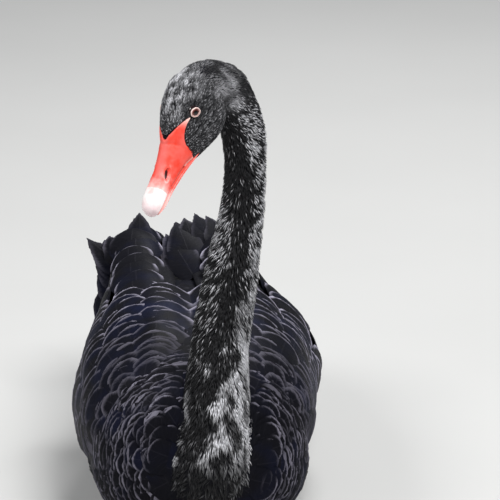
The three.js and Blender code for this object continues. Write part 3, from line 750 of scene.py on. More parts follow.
def bill_finish():
    """Coral red, pinker along the ridge as a painted highlight, paling to ivory before the nail, with a
    pale cutting edge and nostrils painted near black as painted shade.
    """
    shader = Shader("coral_bill", Specular_IOR_Level=0.5, Coat_Weight=0.15, Coat_Roughness=0.3)
    back, ridge, mouth = shader.parts("bill")
    cloud = shader.noise(90.0, 3.0)
    fine = shader.noise(700.0, 2.0)
    red = shader.mix(shader.ease(cloud, 0.3, 0.7), (0.8, 0.1, 0.075), (0.78, 0.035, 0.012))
    # Painted highlight: pinker along the top of the ridge where light falls.
    colour = shader.mix(shader.ease(ridge, 0.0, 1.0) * 0.5, red, (0.82, 0.19, 0.17))
    pink = 1 - shader.ease(back + (cloud - 0.5) * 34, 24.0, 44.0)
    colour = shader.mix(pink * 0.75, colour, (0.9, 0.5, 0.47))
    lore = shader.ease(back, 88.0, 106.0)
    colour = shader.mix(lore, colour, (0.85, 0.6, 0.54))
    colour = shader.mix(mouth * 0.75, colour, (0.9, 0.66, 0.6))
    # Painted shade: near black within the nostrils' hollows, where the ridge number is negative.
    colour = shader.mix(shader.ease(ridge, -0.2, -1.4), colour, (0.05, 0.004, 0.003))
    shader.feed("Base Color", colour)
    shader.feed("Roughness", 0.34 + fine * 0.2)
    shader.bump(fine * 0.4 + cloud, 0.25, 0.0006)
    return shader.material


def nail_finish():
    shader = Shader("ivory_nail", Specular_IOR_Level=0.5, Coat_Weight=0.2, Coat_Roughness=0.3)
    back, _, _ = shader.parts("bill")
    cloud = shader.noise(110.0, 3.0)
    fine = shader.noise(800.0, 2.0)
    ivory = shader.mix(shader.ease(cloud, 0.35, 0.75), (0.88, 0.84, 0.82), (0.84, 0.66, 0.66))
    pink = shader.ease(back + (cloud - 0.5) * 26, 17.0, 30.0)
    tip = 1 - shader.ease(back, 2.0, 12.0)
    colour = shader.mix(pink * 0.7, ivory, (0.88, 0.42, 0.38))
    shader.feed("Base Color", shader.mix(tip * 0.5, colour, (0.8, 0.56, 0.6)))
    shader.feed("Roughness", 0.3 + fine * 0.2)
    shader.bump(fine * 0.5 + cloud, 0.2, 0.0005)
    return shader.material


def eye_finish():
    """A black pupil in a dark red-brown iris."""
    shader = Shader("dark_red_eye", Specular_IOR_Level=0.3, Coat_Weight=0.5, Coat_Roughness=0.03)
    out, turn, _ = shader.parts("eye")
    rays = shader.noise(1.0, 2.0, shader.vector(turn * 14, out * 0.6, 0.0))
    iris = shader.mix(rays, (0.05, 0.008, 0.006), (0.13, 0.03, 0.022))
    pupil = 1 - shader.ease(out, 2.3, 2.6)
    dark = shader.ease(out, 3.7, 4.6)
    colour = shader.mix(pupil, iris, (0.002, 0.002, 0.002))
    shader.feed("Base Color", shader.mix(dark, colour, (0.01, 0.004, 0.004)))
    shader.feed("Roughness", 0.12 + rays * 0.1)
    return shader.material


def lid_finish():
    """Bare pale skin in two rings with a darker groove between them."""
    shader = Shader("pale_lid", Specular_IOR_Level=0.5)
    out, _, _ = shader.parts("eye")
    cloud = shader.noise(900.0, 2.0)
    groove = shader.ease(out, 0.1, 0.3) - shader.ease(out, 0.42, 0.6)
    colour = shader.mix(groove, (0.74, 0.57, 0.53), (0.3, 0.1, 0.08))
    colour = shader.mix(shader.ease(cloud, 0.5, 0.8) * 0.5, colour, (0.6, 0.3, 0.27))
    shader.feed("Base Color", colour)
    shader.feed("Roughness", 0.45 + cloud * 0.2)
    shader.bump(cloud, 0.3, 0.0003)
    return shader.material


def foot_finish():
    shader = Shader("dark_scaled_skin", Specular_IOR_Level=0.5)
    cells = shader.node("ShaderNodeTexVoronoi", {"feature": "DISTANCE_TO_EDGE"}, {"Scale": 330.0})
    cloud = shader.noise(60.0, 3.0)
    scale = shader.ease(cells, 0.02, 0.16)
    dark = shader.mix(shader.ease(cloud, 0.3, 0.7), (0.018, 0.019, 0.021), (0.05, 0.05, 0.055))
    shader.feed("Base Color", shader.mix(scale, (0.01, 0.01, 0.011), dark))
    shader.feed("Roughness", 0.42 + cloud * 0.2)
    shader.bump(scale, 0.6, 0.0007)
    return shader.material


def floor_finish():
    shader = Shader("pale_floor", Specular_IOR_Level=0.2)
    cloud = shader.noise(3.0, 3.0)
    shader.feed("Base Color", shader.mix(cloud, (0.5, 0.5, 0.49), (0.53, 0.53, 0.52)))
    shader.feed("Roughness", 0.7 + cloud * 0.2)
    return shader.material


# The wings: a dark core, rows of coverts, long white flight feathers and upturned plumes

def wing_sheet(side, u, v, turn, stiff=0.0, floor=0.0):
    """A sheet of feathers that follow the wing's skin from places on it, turned a little down it.

    A stiff feather keeps straight across where the skin falls away beside it. The floor is how far the
    feathers lie off the skin, and they sink into it at the wing's border.
    """
    stiff = np.broadcast_to(stiff, len(u))[:, None, None, None]

    def sheet(along, across):
        _, _, _, pace_u, pace_v = wing_surface[side].frame(u, np.clip(v, 0.04, 0.96))
        ahead = along * np.cos(turn)[:, None, None] - across * np.sin(turn)[:, None, None]
        beside = along * np.sin(turn)[:, None, None] + across * np.cos(turn)[:, None, None]
        at_u = u[:, None, None] + ahead / pace_u[:, None, None]
        at_v = v[:, None, None] + beside / pace_v[:, None, None]
        points = wing_point(at_u, at_v, side)
        normals = wing_surface[side].normal(np.clip(at_u, 0.02, 1.2), np.clip(at_v, 0.04, 0.96))
        middle = points.shape[2] // 2
        shaft, upright = points[:, :, middle, None], normals[:, :, middle, None]
        level = points - upright * dot(points - shaft, upright)
        points = points + (level - points) * stiff
        normals = unit(normals + (upright - normals) * stiff)
        border = np.clip(1 - np.minimum(at_v, 1 - at_v) / 0.14, 0, 1.4)
        shoulder = np.clip(1 - at_u / 0.1, 0, 1)
        sunk = floor - 6.5 * np.maximum(border, shoulder)
        return points + normals * sunk[..., None], normals

    return sheet


CORE_DEPTH, CORE_THICKNESS = 4.0, 5.0


def wing_core(side):
    """A closed plate under the coverts, sunk towards the rear of the wing."""
    u, v = np.meshgrid(np.linspace(0.01, 0.97, 60), np.linspace(0.02, 0.98, 40), indexing="ij")
    fade = 1 - np.clip((u - 0.86) / 0.14, 0, 1) ** 2
    outer = wing_point(u, v, side)
    normals = wing_surface[side].normal(u, np.clip(v, 0.04, 0.96))
    outer = outer - normals * (CORE_DEPTH + (1 - fade) * wing_height(u, v, side))[..., None]
    points, faces = slab(outer, outer - normals * CORE_THICKNESS, side < 0)
    points[:, 2] = np.maximum(points[:, 2], LOWEST)
    return fill("core", points, faces)


wing_pitch = through([(-0.12, 8), (0.05, 11), (0.2, 15), (0.35, 21), (0.5, 27), (0.9, 28)])
wing_span = through([(-0.12, 32), (0.02, 40), (0.2, 54), (0.5, 60), (0.8, 60), (1, 54)])
CREST_START = 0.36
CREST_LINE = {1: (0.17, 0.47, 0.72, 0.93), -1: (0.22, 0.52, 0.72, 0.93)}


COVERTS_START, COVERTS_END = -0.1, 0.93


def covert_places(side, rng):
    """Rows of coverts up the wing: small and close at the shoulder, broad on the back."""
    places = []
    u = COVERTS_START
    while u < COVERTS_END:
        held = max(u, 0.02)
        edge = wing_point(np.array([held, held]), np.array([0.1, 0.9]), side)
        girth = np.linalg.norm(edge[1] - edge[0]) / 0.8
        columns = max(int(round(girth / (0.74 * wing_span(u)))), 3)
        v = (np.arange(columns) + 0.5 + 0.2 * (len(places) % 2) - 0.1) / columns
        if u > CREST_START:
            columns = len(CREST_LINE[side])
            v = np.array(CREST_LINE[side]) + 0.02 * (len(places) % 2)
        v = v + rng.uniform(-0.04, 0.04, columns) / columns
        wander = rng.uniform(-0.2, 0.2, columns) * wing_pitch(u) / WING_LENGTH
        places.append(np.stack([u + wander, v], axis=-1))
        u += wing_pitch(u) / WING_LENGTH
    return np.concatenate(places).T


def make_coverts(side, name, material):
    """Rows of broad feathers over the wing, arched over the crest and flatter down the flank."""
    rng = np.random.default_rng(31 + side)
    u, v = covert_places(side, rng)
    span = wing_span(u) * rng.uniform(0.9, 1.08, len(u))
    length = 18 + 0.85 * span + rng.uniform(-2, 2, len(u))
    flank = np.clip((v - 0.35) / 0.3, 0, 1)
    flat = np.clip((0.4 - u) / 0.4, 0, 1)
    lift = (0.1 - 0.055 * np.maximum(flank, flat)) * length + rng.uniform(-0.8, 1.2, len(u))
    lift = lift + 4.0 * swell(u, 0.8, 0.3) * (1 - flank)
    turn = 0.4 * (1 - np.clip(u / 0.5, 0, 1)) * (v - 0.3) + rng.uniform(-0.05, 0.05, len(u))
    crest = np.clip((u - CREST_START) / 0.1, 0, 1) * swell(v, 0.2, 0.2)
    sheet = wing_sheet(side, u, v, turn, 0.75 * crest)
    camber = 0.1 + 0.12 * crest - 0.06 * np.maximum(flank, flat)
    feathers = vanes(sheet, length, span / 2, lift, 12, 9, rng, camber=camber, curl=-1.2, fray=1.0)
    # Painted highlight on the fringes, stronger towards the back of the wing, and painted blue sheen,
    # strongest over the shoulder.
    pale = np.clip(rng.uniform(0.5, 1.0, len(u)) * (0.2 + 0.8 * np.clip(u / 0.4, 0, 1)), 0, 1)
    painted_sheen = np.clip(rng.uniform(0, 0.4, len(u)) + 0.5 * swell(u, 0.2, 0.14), 0, 1)
    tone = np.stack([pale, rng.uniform(0, 1, len(u)), painted_sheen], axis=-1)
    if side < 0:
        feathers = mirrored(feathers)
    places = np.stack([np.clip(v, 0, 0.9), np.clip(u, 0, 0.9)], axis=-1)
    return vane_piece(f"coverts_{name}", feathers, tone, places, (0.12, 0.018), material, "black_feather")


def mirrored(feathers):
    """The same feathers with their faces turned over, for a sheet that runs the other way round."""
    points, groups, edge, vane = feathers
    return points, [group[:, ::-1] for group in groups], edge, vane


# Long feathers of the wings' crests: root along and down the wing, tip, half the width and the arch
PLUMES = {
    1: ((0.62, 0.02, (-14, 245, 236), 20, 4), (0.66, 0.04, (-2, 250, 249), 21, 4),
        (0.7, 0.08, (8, 252, 253), 19, 4), (0.72, 0.16, (20, 255, 258), 16, 4),
        (0.72, 0.22, (34, 255, 254), 17, 4), (0.72, 0.3, (43, 250, 249), 18, 4)),
    -1: ((0.66, 0.24, (-50, 255, 241), 28, 14), (0.74, 0.2, (-44, 265, 256), 15, 2),
         (0.78, 0.36, (-78, 288, 221), 17, 6), (0.8, 0.42, (-84, 296, 214), 15, 6),
         (0.8, 0.46, (-105, 300, 216), 14, 0), (0.82, 0.5, (-99, 306, 201), 15, 2),
         (0.8, 0.55, (-92, 306, 192), 16, 4), (0.76, 0.62, (-86, 306, 178), 17, 6),
         (0.7, 0.7, (-84, 300, 154), 18, 8)),
}
CREST_PLUME = (-50, 255, 241)
PLUME_SUNK = 8
SECOND_PLUME = (2.0, 9.0, 6.0)


def arched_sheet(starts, bends, tips, lies):
    """A sheet of feathers along curved shafts from start to tip, turning to face up towards the tip."""
    def sheet(along, across):
        reach = along[:, -1:, :1]
        t = (along / reach)[..., None]
        start, bend, tip, lie = (value[:, None, None] for value in (starts, bends, tips, lies))
        spot = start * (1 - t) ** 2 + bend * 2 * t * (1 - t) + tip * t ** 2
        course = unit(2 * (1 - t) * (bend - start) + 2 * t * (tip - bend))
        normal = lie * (1 - t) + UP * t
        normal = unit(normal - course * dot(normal, course))
        return spot + np.cross(course, normal) * across[..., None], normal

    return sheet


def make_plumes(side, name, material):
    """The crest's long feathers, each with a second one a little in front of it and below."""
    rng = np.random.default_rng(7 + side)
    shafts, halves, cambers = [], [], []
    for along, down, tip, half, arch in PLUMES[side]:
        normal = wing_surface[side].normal(np.array([along]), np.array([down]))[0]
        start = wing_point(np.array([along]), np.array([down]), side)[0] - normal * PLUME_SUNK
        for step in range(2):
            end = np.array(tip, float) - np.array(SECOND_PLUME) * (side, 1, 1) * step
            shafts.append((start, (start + end) / 2 + normal * arch, end, normal))
            halves.append(half * (1 + 0.06 * step))
            cambers.append(0.3 if tip == CREST_PLUME else 0.16)
    starts, bends, tips, lies = (np.array(value) for value in zip(*shafts))
    length = np.linalg.norm(tips - starts, axis=-1)
    sheet = arched_sheet(starts, bends, tips, lies)
    feathers = vanes(sheet, length, np.array(halves), 0.0, 18, 9, rng, pointed_outline, sink=0,
                     camber=np.array(cambers), fray=1.0)
    # Faint painted highlight on the fringes and a painted blue sheen at random.
    tone = np.stack([rng.uniform(0.02, 0.15, len(length)), rng.uniform(0, 1, len(length)),
                     rng.uniform(0, 0.4, len(length))], axis=-1)
    places = np.stack([np.arange(len(length)) / (len(length) + 1), np.full(len(length), 0.1)], axis=-1)
    return vane_piece(f"plumes_{name}", feathers, tone, places, (0.04, 0.3), material, "black_feather")


FLIGHT_FEATHERS = 9
FLIGHT_FLOOR = -9.5


def make_flight_feathers(side, name, material):
    """The white flight feathers, folded under the coverts along the rear of the flank."""
    rng = np.random.default_rng(91 + side)
    count = FLIGHT_FEATHERS
    order = np.arange(count) / (count - 1)
    u = 0.5 + 0.12 * order
    v = 0.95 - 0.35 * order
    length = np.full(count, 130.0) - 30 * order
    turn = np.full(count, -0.1)
    sheet = wing_sheet(side, u, v, turn, floor=FLIGHT_FLOOR)
    feathers = vanes(sheet, length, 11.0, 6.0, 16, 7, rng, camber=0.12, fray=0.3)
    if side < 0:
        feathers = mirrored(feathers)
    # Painted highlight on the white fringes and a painted bluish sheen, the same for each feather.
    tone = np.stack([np.full(count, 0.6), order, np.full(count, 0.3)], axis=-1)
    places = np.stack([0.05 + 0.1 * np.arange(count), np.full(count, 0.1)], axis=-1)
    return vane_piece(f"flight_feathers_{name}", feathers, tone, places, (0.08, 0.5), material,
                      "white_feather")


# The tail's fan

TAIL_SIDE_FEATHERS = 6
TAIL_START, TAIL_END, TAIL_HEIGHT = 262, 372, 150
TAIL_ROOT_HALF, TAIL_FAN_HALF, TAIL_VANE_HALF = 15, 62, 13.5


def make_tail(material):
    """A fan of feathers, each a little under the one nearer the middle."""
    rng = np.random.default_rng(5)
    index = np.arange(-TAIL_SIDE_FEATHERS, TAIL_SIDE_FEATHERS + 1)
    out = index / TAIL_SIDE_FEATHERS
    reach = TAIL_END - 2 - 24 * out ** 2
    lie = TAIL_HEIGHT + 8 - 2.5 * np.abs(index) - np.where(index < 0, 1.2, 0)
    roots = np.stack([TAIL_ROOT_HALF * out, TAIL_START + 0 * out, lie - 2], axis=-1)
    tips = np.stack([TAIL_FAN_HALF * out, reach, lie + 9], axis=-1)
    lies = unit(tips - roots)
    normals = np.stack([0.1 * out, -0.1 + 0 * out, 1 + 0 * out], axis=-1)
    normals = unit(normals - lies * dot(normals, lies))
    length = np.linalg.norm(tips - roots, axis=-1)
    feathers = vanes(flat_sheet(roots, lies, normals), length, TAIL_VANE_HALF, 0.0, 18, 9, rng, sink=0,
                     camber=0.12, fray=0.8)
    # Painted highlight on the fringes and a painted blue sheen, the same for each feather.
    tone = np.stack([np.full(len(out), 0.3), rng.uniform(0, 1, len(out)), np.full(len(out), 0.2)], axis=-1)
    places = np.stack([0.05 + 0.065 * np.arange(len(out)), np.full(len(out), 0.1)], axis=-1)
    return vane_piece("tail_feathers", feathers, tone, places, (0.05, 0.5), material, "black_feather",
                      "tail")


# Small feathers of the body, neck and head

# The wings hide the body from one share of their length to the other, but for a margin at their rims
HIDDEN_FROM, HIDDEN_TO, HIDDEN_MARGIN = 0.08, 0.85, 0.12


def make_body_feathers(material):
    """Small scale-like feathers wherever the body isn't hidden by the wings."""
    rng = np.random.default_rng(11)
    pitch = through([(0, 6.5), (0.25, 7.5), (0.6, 10), (1, 9)])
    gap = through([(0, 13), (0.25, 17), (0.6, 20), (1, 12)])
    u, v = rows_of(body_surface, 0.02, 0.965, pitch, gap, rng)
    turned = np.where(v > math.pi, TURN - v, v)
    inside = (u - WING_FRONT) / (WING_REAR - WING_FRONT)
    over = np.clip(inside, 0, 1)
    low = np.where(v > math.pi, wing_lower[-1](over), wing_lower[1](over))
    across = (turned < low - HIDDEN_MARGIN) & (turned > wing_upper(over) + HIDDEN_MARGIN)
    covered = (inside > HIDDEN_FROM) & (inside < HIDDEN_TO) & across
    u, v = u[~covered], v[~covered]
    points, lies, normals, _, _ = body_surface.frame(u, v)
    roots, lies, normals, kept = rest_on_skin(points - normals * BODY_COAT, lies)
    roots, lies, normals, u, v = (value[kept] for value in (roots, lies, normals, u, v))
    half = 1.15 * gap(u) * rng.uniform(0.85, 1.1, len(u))
    length = 2.6 * pitch(u) + 10 + rng.uniform(-2, 2, len(u))
    belly = np.clip(1 - roots[:, 2] / 25, 0, 1)
    lift = BODY_COAT + 0.2 + rng.uniform(-0.6, 0.8, len(u)) - 3.5 * belly
    tilt = rng.normal(0, 0.12, len(u))[:, None]
    lies = unit(lies + np.cross(normals, lies) * tilt)
    sheet = flat_sheet(roots, lies, normals, 0.004)
    feathers = vanes(sheet, length, half, lift, 7, 5, rng, broad_outline, sink=1.0, camber=0.03, curl=0.5,
                     fray=0.9)
    # Painted highlight on the fringes, dimmed low down towards the belly as painted shade, and a painted
    # blue sheen at random.
    pale = rng.uniform(0.05, 0.4, len(u)) * (1 - 0.6 * belly)
    tone = np.stack([pale, rng.uniform(0, 1, len(u)), rng.uniform(0, 0.4, len(u))], axis=-1)
    places = on_unwrap(u, v, 0.97)
    return vane_piece("body_feathers", feathers, tone, places, (0.01, 0.01), material, "black_feather")


def drift(points, size, rng):
    """A smooth random field over points, from about -1 to 1, with blots of this many millimetres."""
    waves = 14
    course = unit(rng.normal(0, 1, (waves, 3))) * math.pi / size * rng.uniform(0.6, 1.4, (waves, 1))
    return np.cos(points @ course.T + rng.uniform(0, TURN, waves)).sum(axis=-1) / math.sqrt(waves) * 0.9


CHUNK = 2000


def clumped(lies, normals, points, rng, span, pull, sway):
    """Draws tufts together: each leans to the middle of its clump, and each clump leans its own way.

    Gives the new lies, and how high each clump stands.
    """
    count = len(range(0, len(points), span))
    middle = points[rng.permutation(len(points))[:count]]
    nearest = np.empty(len(points), int)
    for start in range(0, len(points), CHUNK):
        some = points[start:start + CHUNK]
        gaps = ((some[:, None] - middle[None]) ** 2).sum(axis=-1)
        nearest[start:start + CHUNK] = gaps.argmin(axis=1)
    side = np.cross(normals, lies)
    off = dot(middle[nearest] - points, side)
    own = rng.normal(0, 1, (count, 3))[nearest]
    lies = unit(lies + side * (off * pull + own[:, :1] * sway))
    return lies, own[:, 1]


# Where the light catches the head and the bend of the neck: back, out to either side and up, with a radius
GLINT_SPOTS = (((152, 22, -10), 10, 1.0), ((147, 21, 18), 8, 0.8), ((166, 24, 12), 10, 0.7),
          ((149, 21, -34), 10, 0.8), ((108, 4, 56), 20, 0.5), ((135, 8, 60), 18, 0.5))


def painted_glint(points):
    """How far points lie in the head's and neck's painted highlights, where light catches the feathers."""
    back, out, up = head_coordinates(points)
    place = np.stack([back, np.abs(out), up], axis=-1)
    share = [bright * np.exp(-(((place - spot) / size) ** 2).sum(axis=-1)) for spot, size, bright in GLINT_SPOTS]
    return np.clip(sum(share), 0, 1)


def ramp(value, low, high):
    """Goes straight from 0 to 1 as the value goes from low to high."""
    return np.clip((value - low) / (high - low), 0, 1)


def neck_threads(u, left_side, points, rng):
    """Painted highlights: bright threads where light catches both edges of the neck, and a fine grain of
    painted glints behind the head.
    """
    thread = 0.08 + 0.7 * ramp(left_side, 0.2, 0.7) * ramp(u, 0.16, 0.28)
    far = np.interp(u, (0.38, 0.44, 0.6, 0.7), (0, 0.5, 0.3, 0.1))
    thread = thread + far * ramp(-left_side, 0.25, 0.65)
    thread = np.maximum(thread, 0.75 * painted_glint(points))
    chosen = rng.uniform(0, 1, len(u)) < thread * np.clip(0.7 + 0.6 * drift(points, 9, rng), 0.1, 1.4)
    bright = np.where(chosen, rng.uniform(0.35, 1, len(u)) * (0.4 + 0.6 * ramp(thread, 0, 0.4)), 0.015)
    grain = np.clip(0.4 + 0.8 * drift(points, 8, rng), 0, 1) * rng.uniform(0, 0.3, len(u))
    bright = bright + (grain + 0.6 * painted_glint(points) - bright) * (1 - ramp(u, 0.1, 0.2))
    return bright * np.interp(u, (0.62, 0.72, 1), (1, 0.35, 0.2))


def breast_highlights(u, v, left_side, points, rng):
    """Painted highlights over the foot of the neck on its lit side, and the furrows that run down across
    them, painted as shadow.
    """
    start = np.interp(u, (0.5, 0.58, 0.66, 0.74), (0.5, 0.1, -0.1, -0.35))
    ragged = left_side + 0.3 * drift(points, 12, rng)
    lit = ramp(ragged, start, start + 0.2) * ramp(u, 0.52, 0.66) * (1 - ramp(u, 0.8, 0.84))
    slant = points * (1, 1, 0.55) + points[:, 2:] * (0.5, 0, 0)
    highlight_blot = np.clip(0.65 + 1.3 * drift(slant, 8, rng) + 0.4 * drift(points, 20, rng), 0.04, 1.2)
    # Painted shadow: dark bands down the folds of the furrows, where the strands also sink.
    stripe = (points[:, 2] - 0.9 * points[:, 0]) / 21 + 0.22 * drift(points, 20, rng)
    furrow = np.exp(-(((stripe % 1) - 0.5) / 0.1) ** 2) * ramp(drift(points, 18, rng), -0.5, 0.1)
    # Painted highlight: patches on the lit side, dimmed in the furrows and towards the back of the neck.
    patch = lit * highlight_blot * (1 - 0.97 * furrow) * rng.uniform(0.6, 1.2, len(u)) * ramp(-np.cos(v), -0.5, 0.2)
    return patch, furrow


def neck_light(u, v, points, rng):
    """How much painted highlight each of the neck's strands carries, and how deep in a furrow it lies."""
    left_side = np.sin(v)
    bright = neck_threads(u, left_side, points, rng)
    patch, furrow = breast_highlights(u, v, left_side, points, rng)
    # Painted rim highlights: thin pale lines along both edges of the lower neck.
    edge_glint = ramp(left_side, 0.8, 0.95) * ramp(u, 0.76, 0.8) * (1 - ramp(u, 0.9, 0.94))
    far_edge_glint = ramp(-left_side, 0.8, 0.96) * ramp(u, 0.7, 0.76) * ramp(drift(points, 10, rng), 0, 0.5)
    return np.max([bright, patch, 0.9 * edge_glint, 0.7 * far_edge_glint], axis=0), furrow


NECK_PIECES = (("neck_upper_feathers", 0, 0.42), ("neck_middle_feathers", 0.42, 0.68),
               ("neck_lower_feathers", 0.68, 1))
NECK_FRONT_LINE = 3.3


def make_neck_feathers(material):
    """Strands down the neck, short and fine at the head and longer towards the breast."""
    rng = np.random.default_rng(17)
    pitch = through([(0, 1.5), (0.12, 1.7), (0.3, 2.2), (0.55, 2.6), (1, 3.2)])
    gap = through([(0, 1.0), (0.12, 1.1), (0.3, 1.3), (0.55, 1.4), (1, 1.7)])
    u, v = rows_of(neck_surface, 0.02, 0.93, pitch, gap, rng, 64)
    points, lies, normals, _, _ = neck_surface.frame(u, v)
    roots, lies, normals, kept = rest_on_skin(points - normals * neck_coat(u)[:, None], lies)
    roots, lies, normals, u, v = (value[kept] for value in (roots, lies, normals, u, v))
    lies, stand = clumped(lies, normals, roots, rng, 14, 0.05, 0.1)
    around = np.cross(normals, lies)
    sweep = np.sin(NECK_FRONT_LINE - v) * np.interp(u, (0.1, 0.28, 0.6, 0.75, 1), (0, 0.6, 0.6, 0.2, 0.1))
    lies = unit(lies + around * (sweep + rng.normal(0, 0.14, len(u)))[:, None])
    # Pale is the painted highlight on each strand; the furrows sink the strands and paint shadow on them.
    pale, furrow = neck_light(u, v, roots, rng)
    reach = through([(0, 3.6), (0.12, 4.6), (0.25, 7), (0.5, 10), (0.75, 12), (1, 13)])
    length = reach(u) * rng.uniform(0.75, 1.2, len(u))
    half = 0.42 * gap(u) * rng.uniform(0.7, 1.2, len(u))
    loose = 0.2 + 0.4 * np.clip(u / 0.4, 0, 1)
    lift = neck_coat(u) - 0.6 + loose * (0.6 * stand + rng.uniform(-0.5, 0.8, len(u))) - 1.6 * furrow
    lift = lift - 2.4 * ramp(u, 0.74, 0.84)
    length = length * (1 - 0.45 * ramp(np.abs(np.sin(v)), 0.7, 0.95) * ramp(u, 0.72, 0.8))
    tone = np.stack([np.clip(pale, 0.02, 1), rng.uniform(0, 1, len(u))], axis=-1)
    places = on_unwrap(u, v, 0.99)
    for name, first, last in NECK_PIECES:
        chosen = (u >= first) & (u < last)
        tufts = blades(roots[chosen], lies[chosen], normals[chosen], length[chosen], half[chosen],
                       lift[chosen])
        blade_piece(name, tufts, tone[chosen], places[chosen], material, "black_feather")


# The bare lores in the head's frame: their upper and lower edges, as places back and up
LORE_RISE = ((64, 20), (71, 28.4), (76.5, 31.9), (82.7, 33.9), (90, 35), (97, 34.7), (103.6, 33.2))
LORE_FALL = ((64, -2.6), (76.5, -2.9), (78, 7.3), (80, 16.6), (85.6, 24.4), (95, 30.4), (103.6, 32.6))
LORE = np.array([*LORE_RISE, *LORE_FALL[::-1]])
EYE = {"back": 110.6, "out": 24.7, "up": 33.3, "ball": 7.0, "opening": 4.6, "rim": 0.9, "ahead": 0.28,
       "lift": 0.12}


def within(outline, x, y):
    """Whether points lie within a closed outline."""
    inside = np.zeros(len(x), bool)
    for (x0, y0), (x1, y1) in zip(outline, np.roll(outline, -1, axis=0)):
        crosses = (y0 > y) != (y1 > y)
        inside ^= crosses & (x < (x1 - x0) * (y - y0) / (y1 - y0 + 1e-12) + x0)
    return inside


HEAD_PITCH, HEAD_GAP, HEAD_TUFT = 1.2, 0.85, 0.5
BILL_EDGE, EYE_EDGE = 70.6, 5.6


def make_head_feathers(material):
    """Very small tufts over the head, left out on the lores and round the eyes."""
    rng = np.random.default_rng(23)
    u, v = rows_of(head_surface, 0.03, 0.97, lambda _: HEAD_PITCH, lambda _: HEAD_GAP, rng, 64)
    points, lies, normals, _, _ = head_surface.frame(u, v)
    roots, lies, normals, kept = rest_on_skin(points - normals * HEAD_COAT, lies)
    back, _, up = head_coordinates(roots)
    bare = within(LORE, back + 0.4, up) | (back < BILL_EDGE)
    eye = eye_frames(1)[3], eye_frames(-1)[3]
    near = np.minimum(*(np.linalg.norm(roots - spot, axis=-1) for spot in eye))
    kept &= ~bare & (near > EYE_EDGE)
    roots, lies, normals, u, v, back, up, near = (
        value[kept] for value in (roots, lies, normals, u, v, back, up, near))
    lies, stand = clumped(lies, normals, roots, rng, 16, 0.1, 0.14)
    small = np.clip((back - 70) / 60, 0, 1) * np.clip((near - 5) / 12, 0.35, 1)
    length = (2.2 + 2.8 * small) * rng.uniform(0.8, 1.2, len(u))
    lift = HEAD_COAT - 0.5 + 0.15 * stand + 0.5 * small
    # Painted highlight: brighter on the crown where light falls from above, in the glint spots and in rare
    # specks, and fewer near the eyes.
    highlight_blot = np.clip(0.55 + 0.7 * drift(roots, 6, rng), 0, 1)
    brow = 0.22 * ramp(up, 30, 52) * ramp(back, 74, 96)
    pale = (brow + 0.45 * painted_glint(roots)) * highlight_blot * rng.uniform(0.1, 1.3, len(u))
    pale = pale + 0.015 + 0.4 * rng.uniform(0, 1, len(u)) ** 7
    pale *= np.clip((near - 3) / 14, 0.15, 1)
    tone = np.stack([np.clip(pale, 0.02, 1), rng.uniform(0, 1, len(u))], axis=-1)
    tufts = blades(roots, lies, normals, length, HEAD_TUFT, lift, 0.3)
    places = on_unwrap(u, v, 0.99)
    blade_piece("head_feathers", tufts, tone, places, material, "black_feather")


# The bill

NAIL_END = 26.0
BILL_END = 86.0
BILL_WAIST, BILL_ROUNDNESS = 0.25, 2.5
LORE_SUNK, LORE_DEPTH = 0.5, 5.0
NOSTRIL_BACK, NOSTRIL_UP, NOSTRIL_SLANT, NOSTRIL_DEPTH = 43.0, 13.0, 0.36, 4.2
SLIT, LIP = (7.0, 2.1), (8.4, 3.6)
JAW_FRONT, JAW_INSET, MOUTH_GAP = 4.0, 1.6, 0.5
bill_half = through([(0, 0), (1.5, 7), (6, 12), (16, 14.8), (34, 14), (50, 14.4), (62, 15.2),
                     (75, 17), (88, 18)])
bill_top = through([(0, -2), (1.5, 3), (6, 7), (16, 11), (34, 14.5), (50, 19), (62, 24),
                    (72, 28.5), (88, 31)])
bill_mouth = through([(0, -5), (1.5, -5.5), (6, -4), (16, -1.5), (40, 0), (60, -0.5), (75, -2),
                      (88, -3.4)])
bill_chin = through([(4, -5.5), (16, -5.6), (34, -5.2), (54, -5.4), (70, -5.8), (88, -6.4)])


def bill_rings(back, half, top, bottom, sides=72):
    """Rings round the bill at distances back from its tip."""
    back = back[:, None] + np.zeros(sides)
    angle = np.arange(sides) / sides * TURN + 0 * back
    rise, fall = top(back), bottom(back)
    waist = fall + BILL_WAIST * (rise - fall)
    centre = head_place(back, 0 * back, waist)
    return oval(centre, LEFT, CROWN, half(back), rise - waist, waist - fall, BILL_ROUNDNESS, angle)


def lore_patch(side):
    """A thin plate of bare skin over the head, from the bill up to the eye."""
    steps, share = np.meshgrid(np.linspace(0, 1, 110), np.linspace(0, 1, 34), indexing="ij")
    back = LORE_RISE[0][0] + (LORE_RISE[-1][0] - LORE_RISE[0][0]) * steps
    up = through(LORE_FALL)(back) * (1 - share) + through(LORE_RISE)(back) * share
    held = np.maximum(back, HEAD_FRONT)
    top, bottom = head_top(held), head_bottom(held)
    waist = bottom + HEAD_WAIST * (top - bottom)
    reach = np.where(up > waist, top - waist, waist - bottom)
    share_up = np.abs((up - waist) / reach) ** HEAD_ROUNDNESS
    out = head_half(held) * np.clip(1 - share_up, 0, 1) ** (1 / HEAD_ROUNDNESS)
    outer = head_place(back, side * (out - LORE_SUNK), up)
    inner = head_place(back, side * np.maximum(out - LORE_DEPTH, 0.2), up)
    return slab(outer, inner, side < 0)


def bill_marks(points):
    """How far back each point of the bill lies, how near its ridge and how near its cutting edge.

    make_bill makes the nearness to the ridge negative within the nostrils, where the finish paints them
    near black as painted shade.
    """
    back, out, up = head_coordinates(points)
    ridge = swell(np.abs(out), 0, 5) * np.clip((up - bill_mouth(back) - 8) / 6, 0, 1)
    mouth = swell(up - bill_mouth(back), 0.4, 1.3) * np.clip((90 - back) / 10, 0, 1)
    return np.stack([back, ridge, mouth], axis=-1)


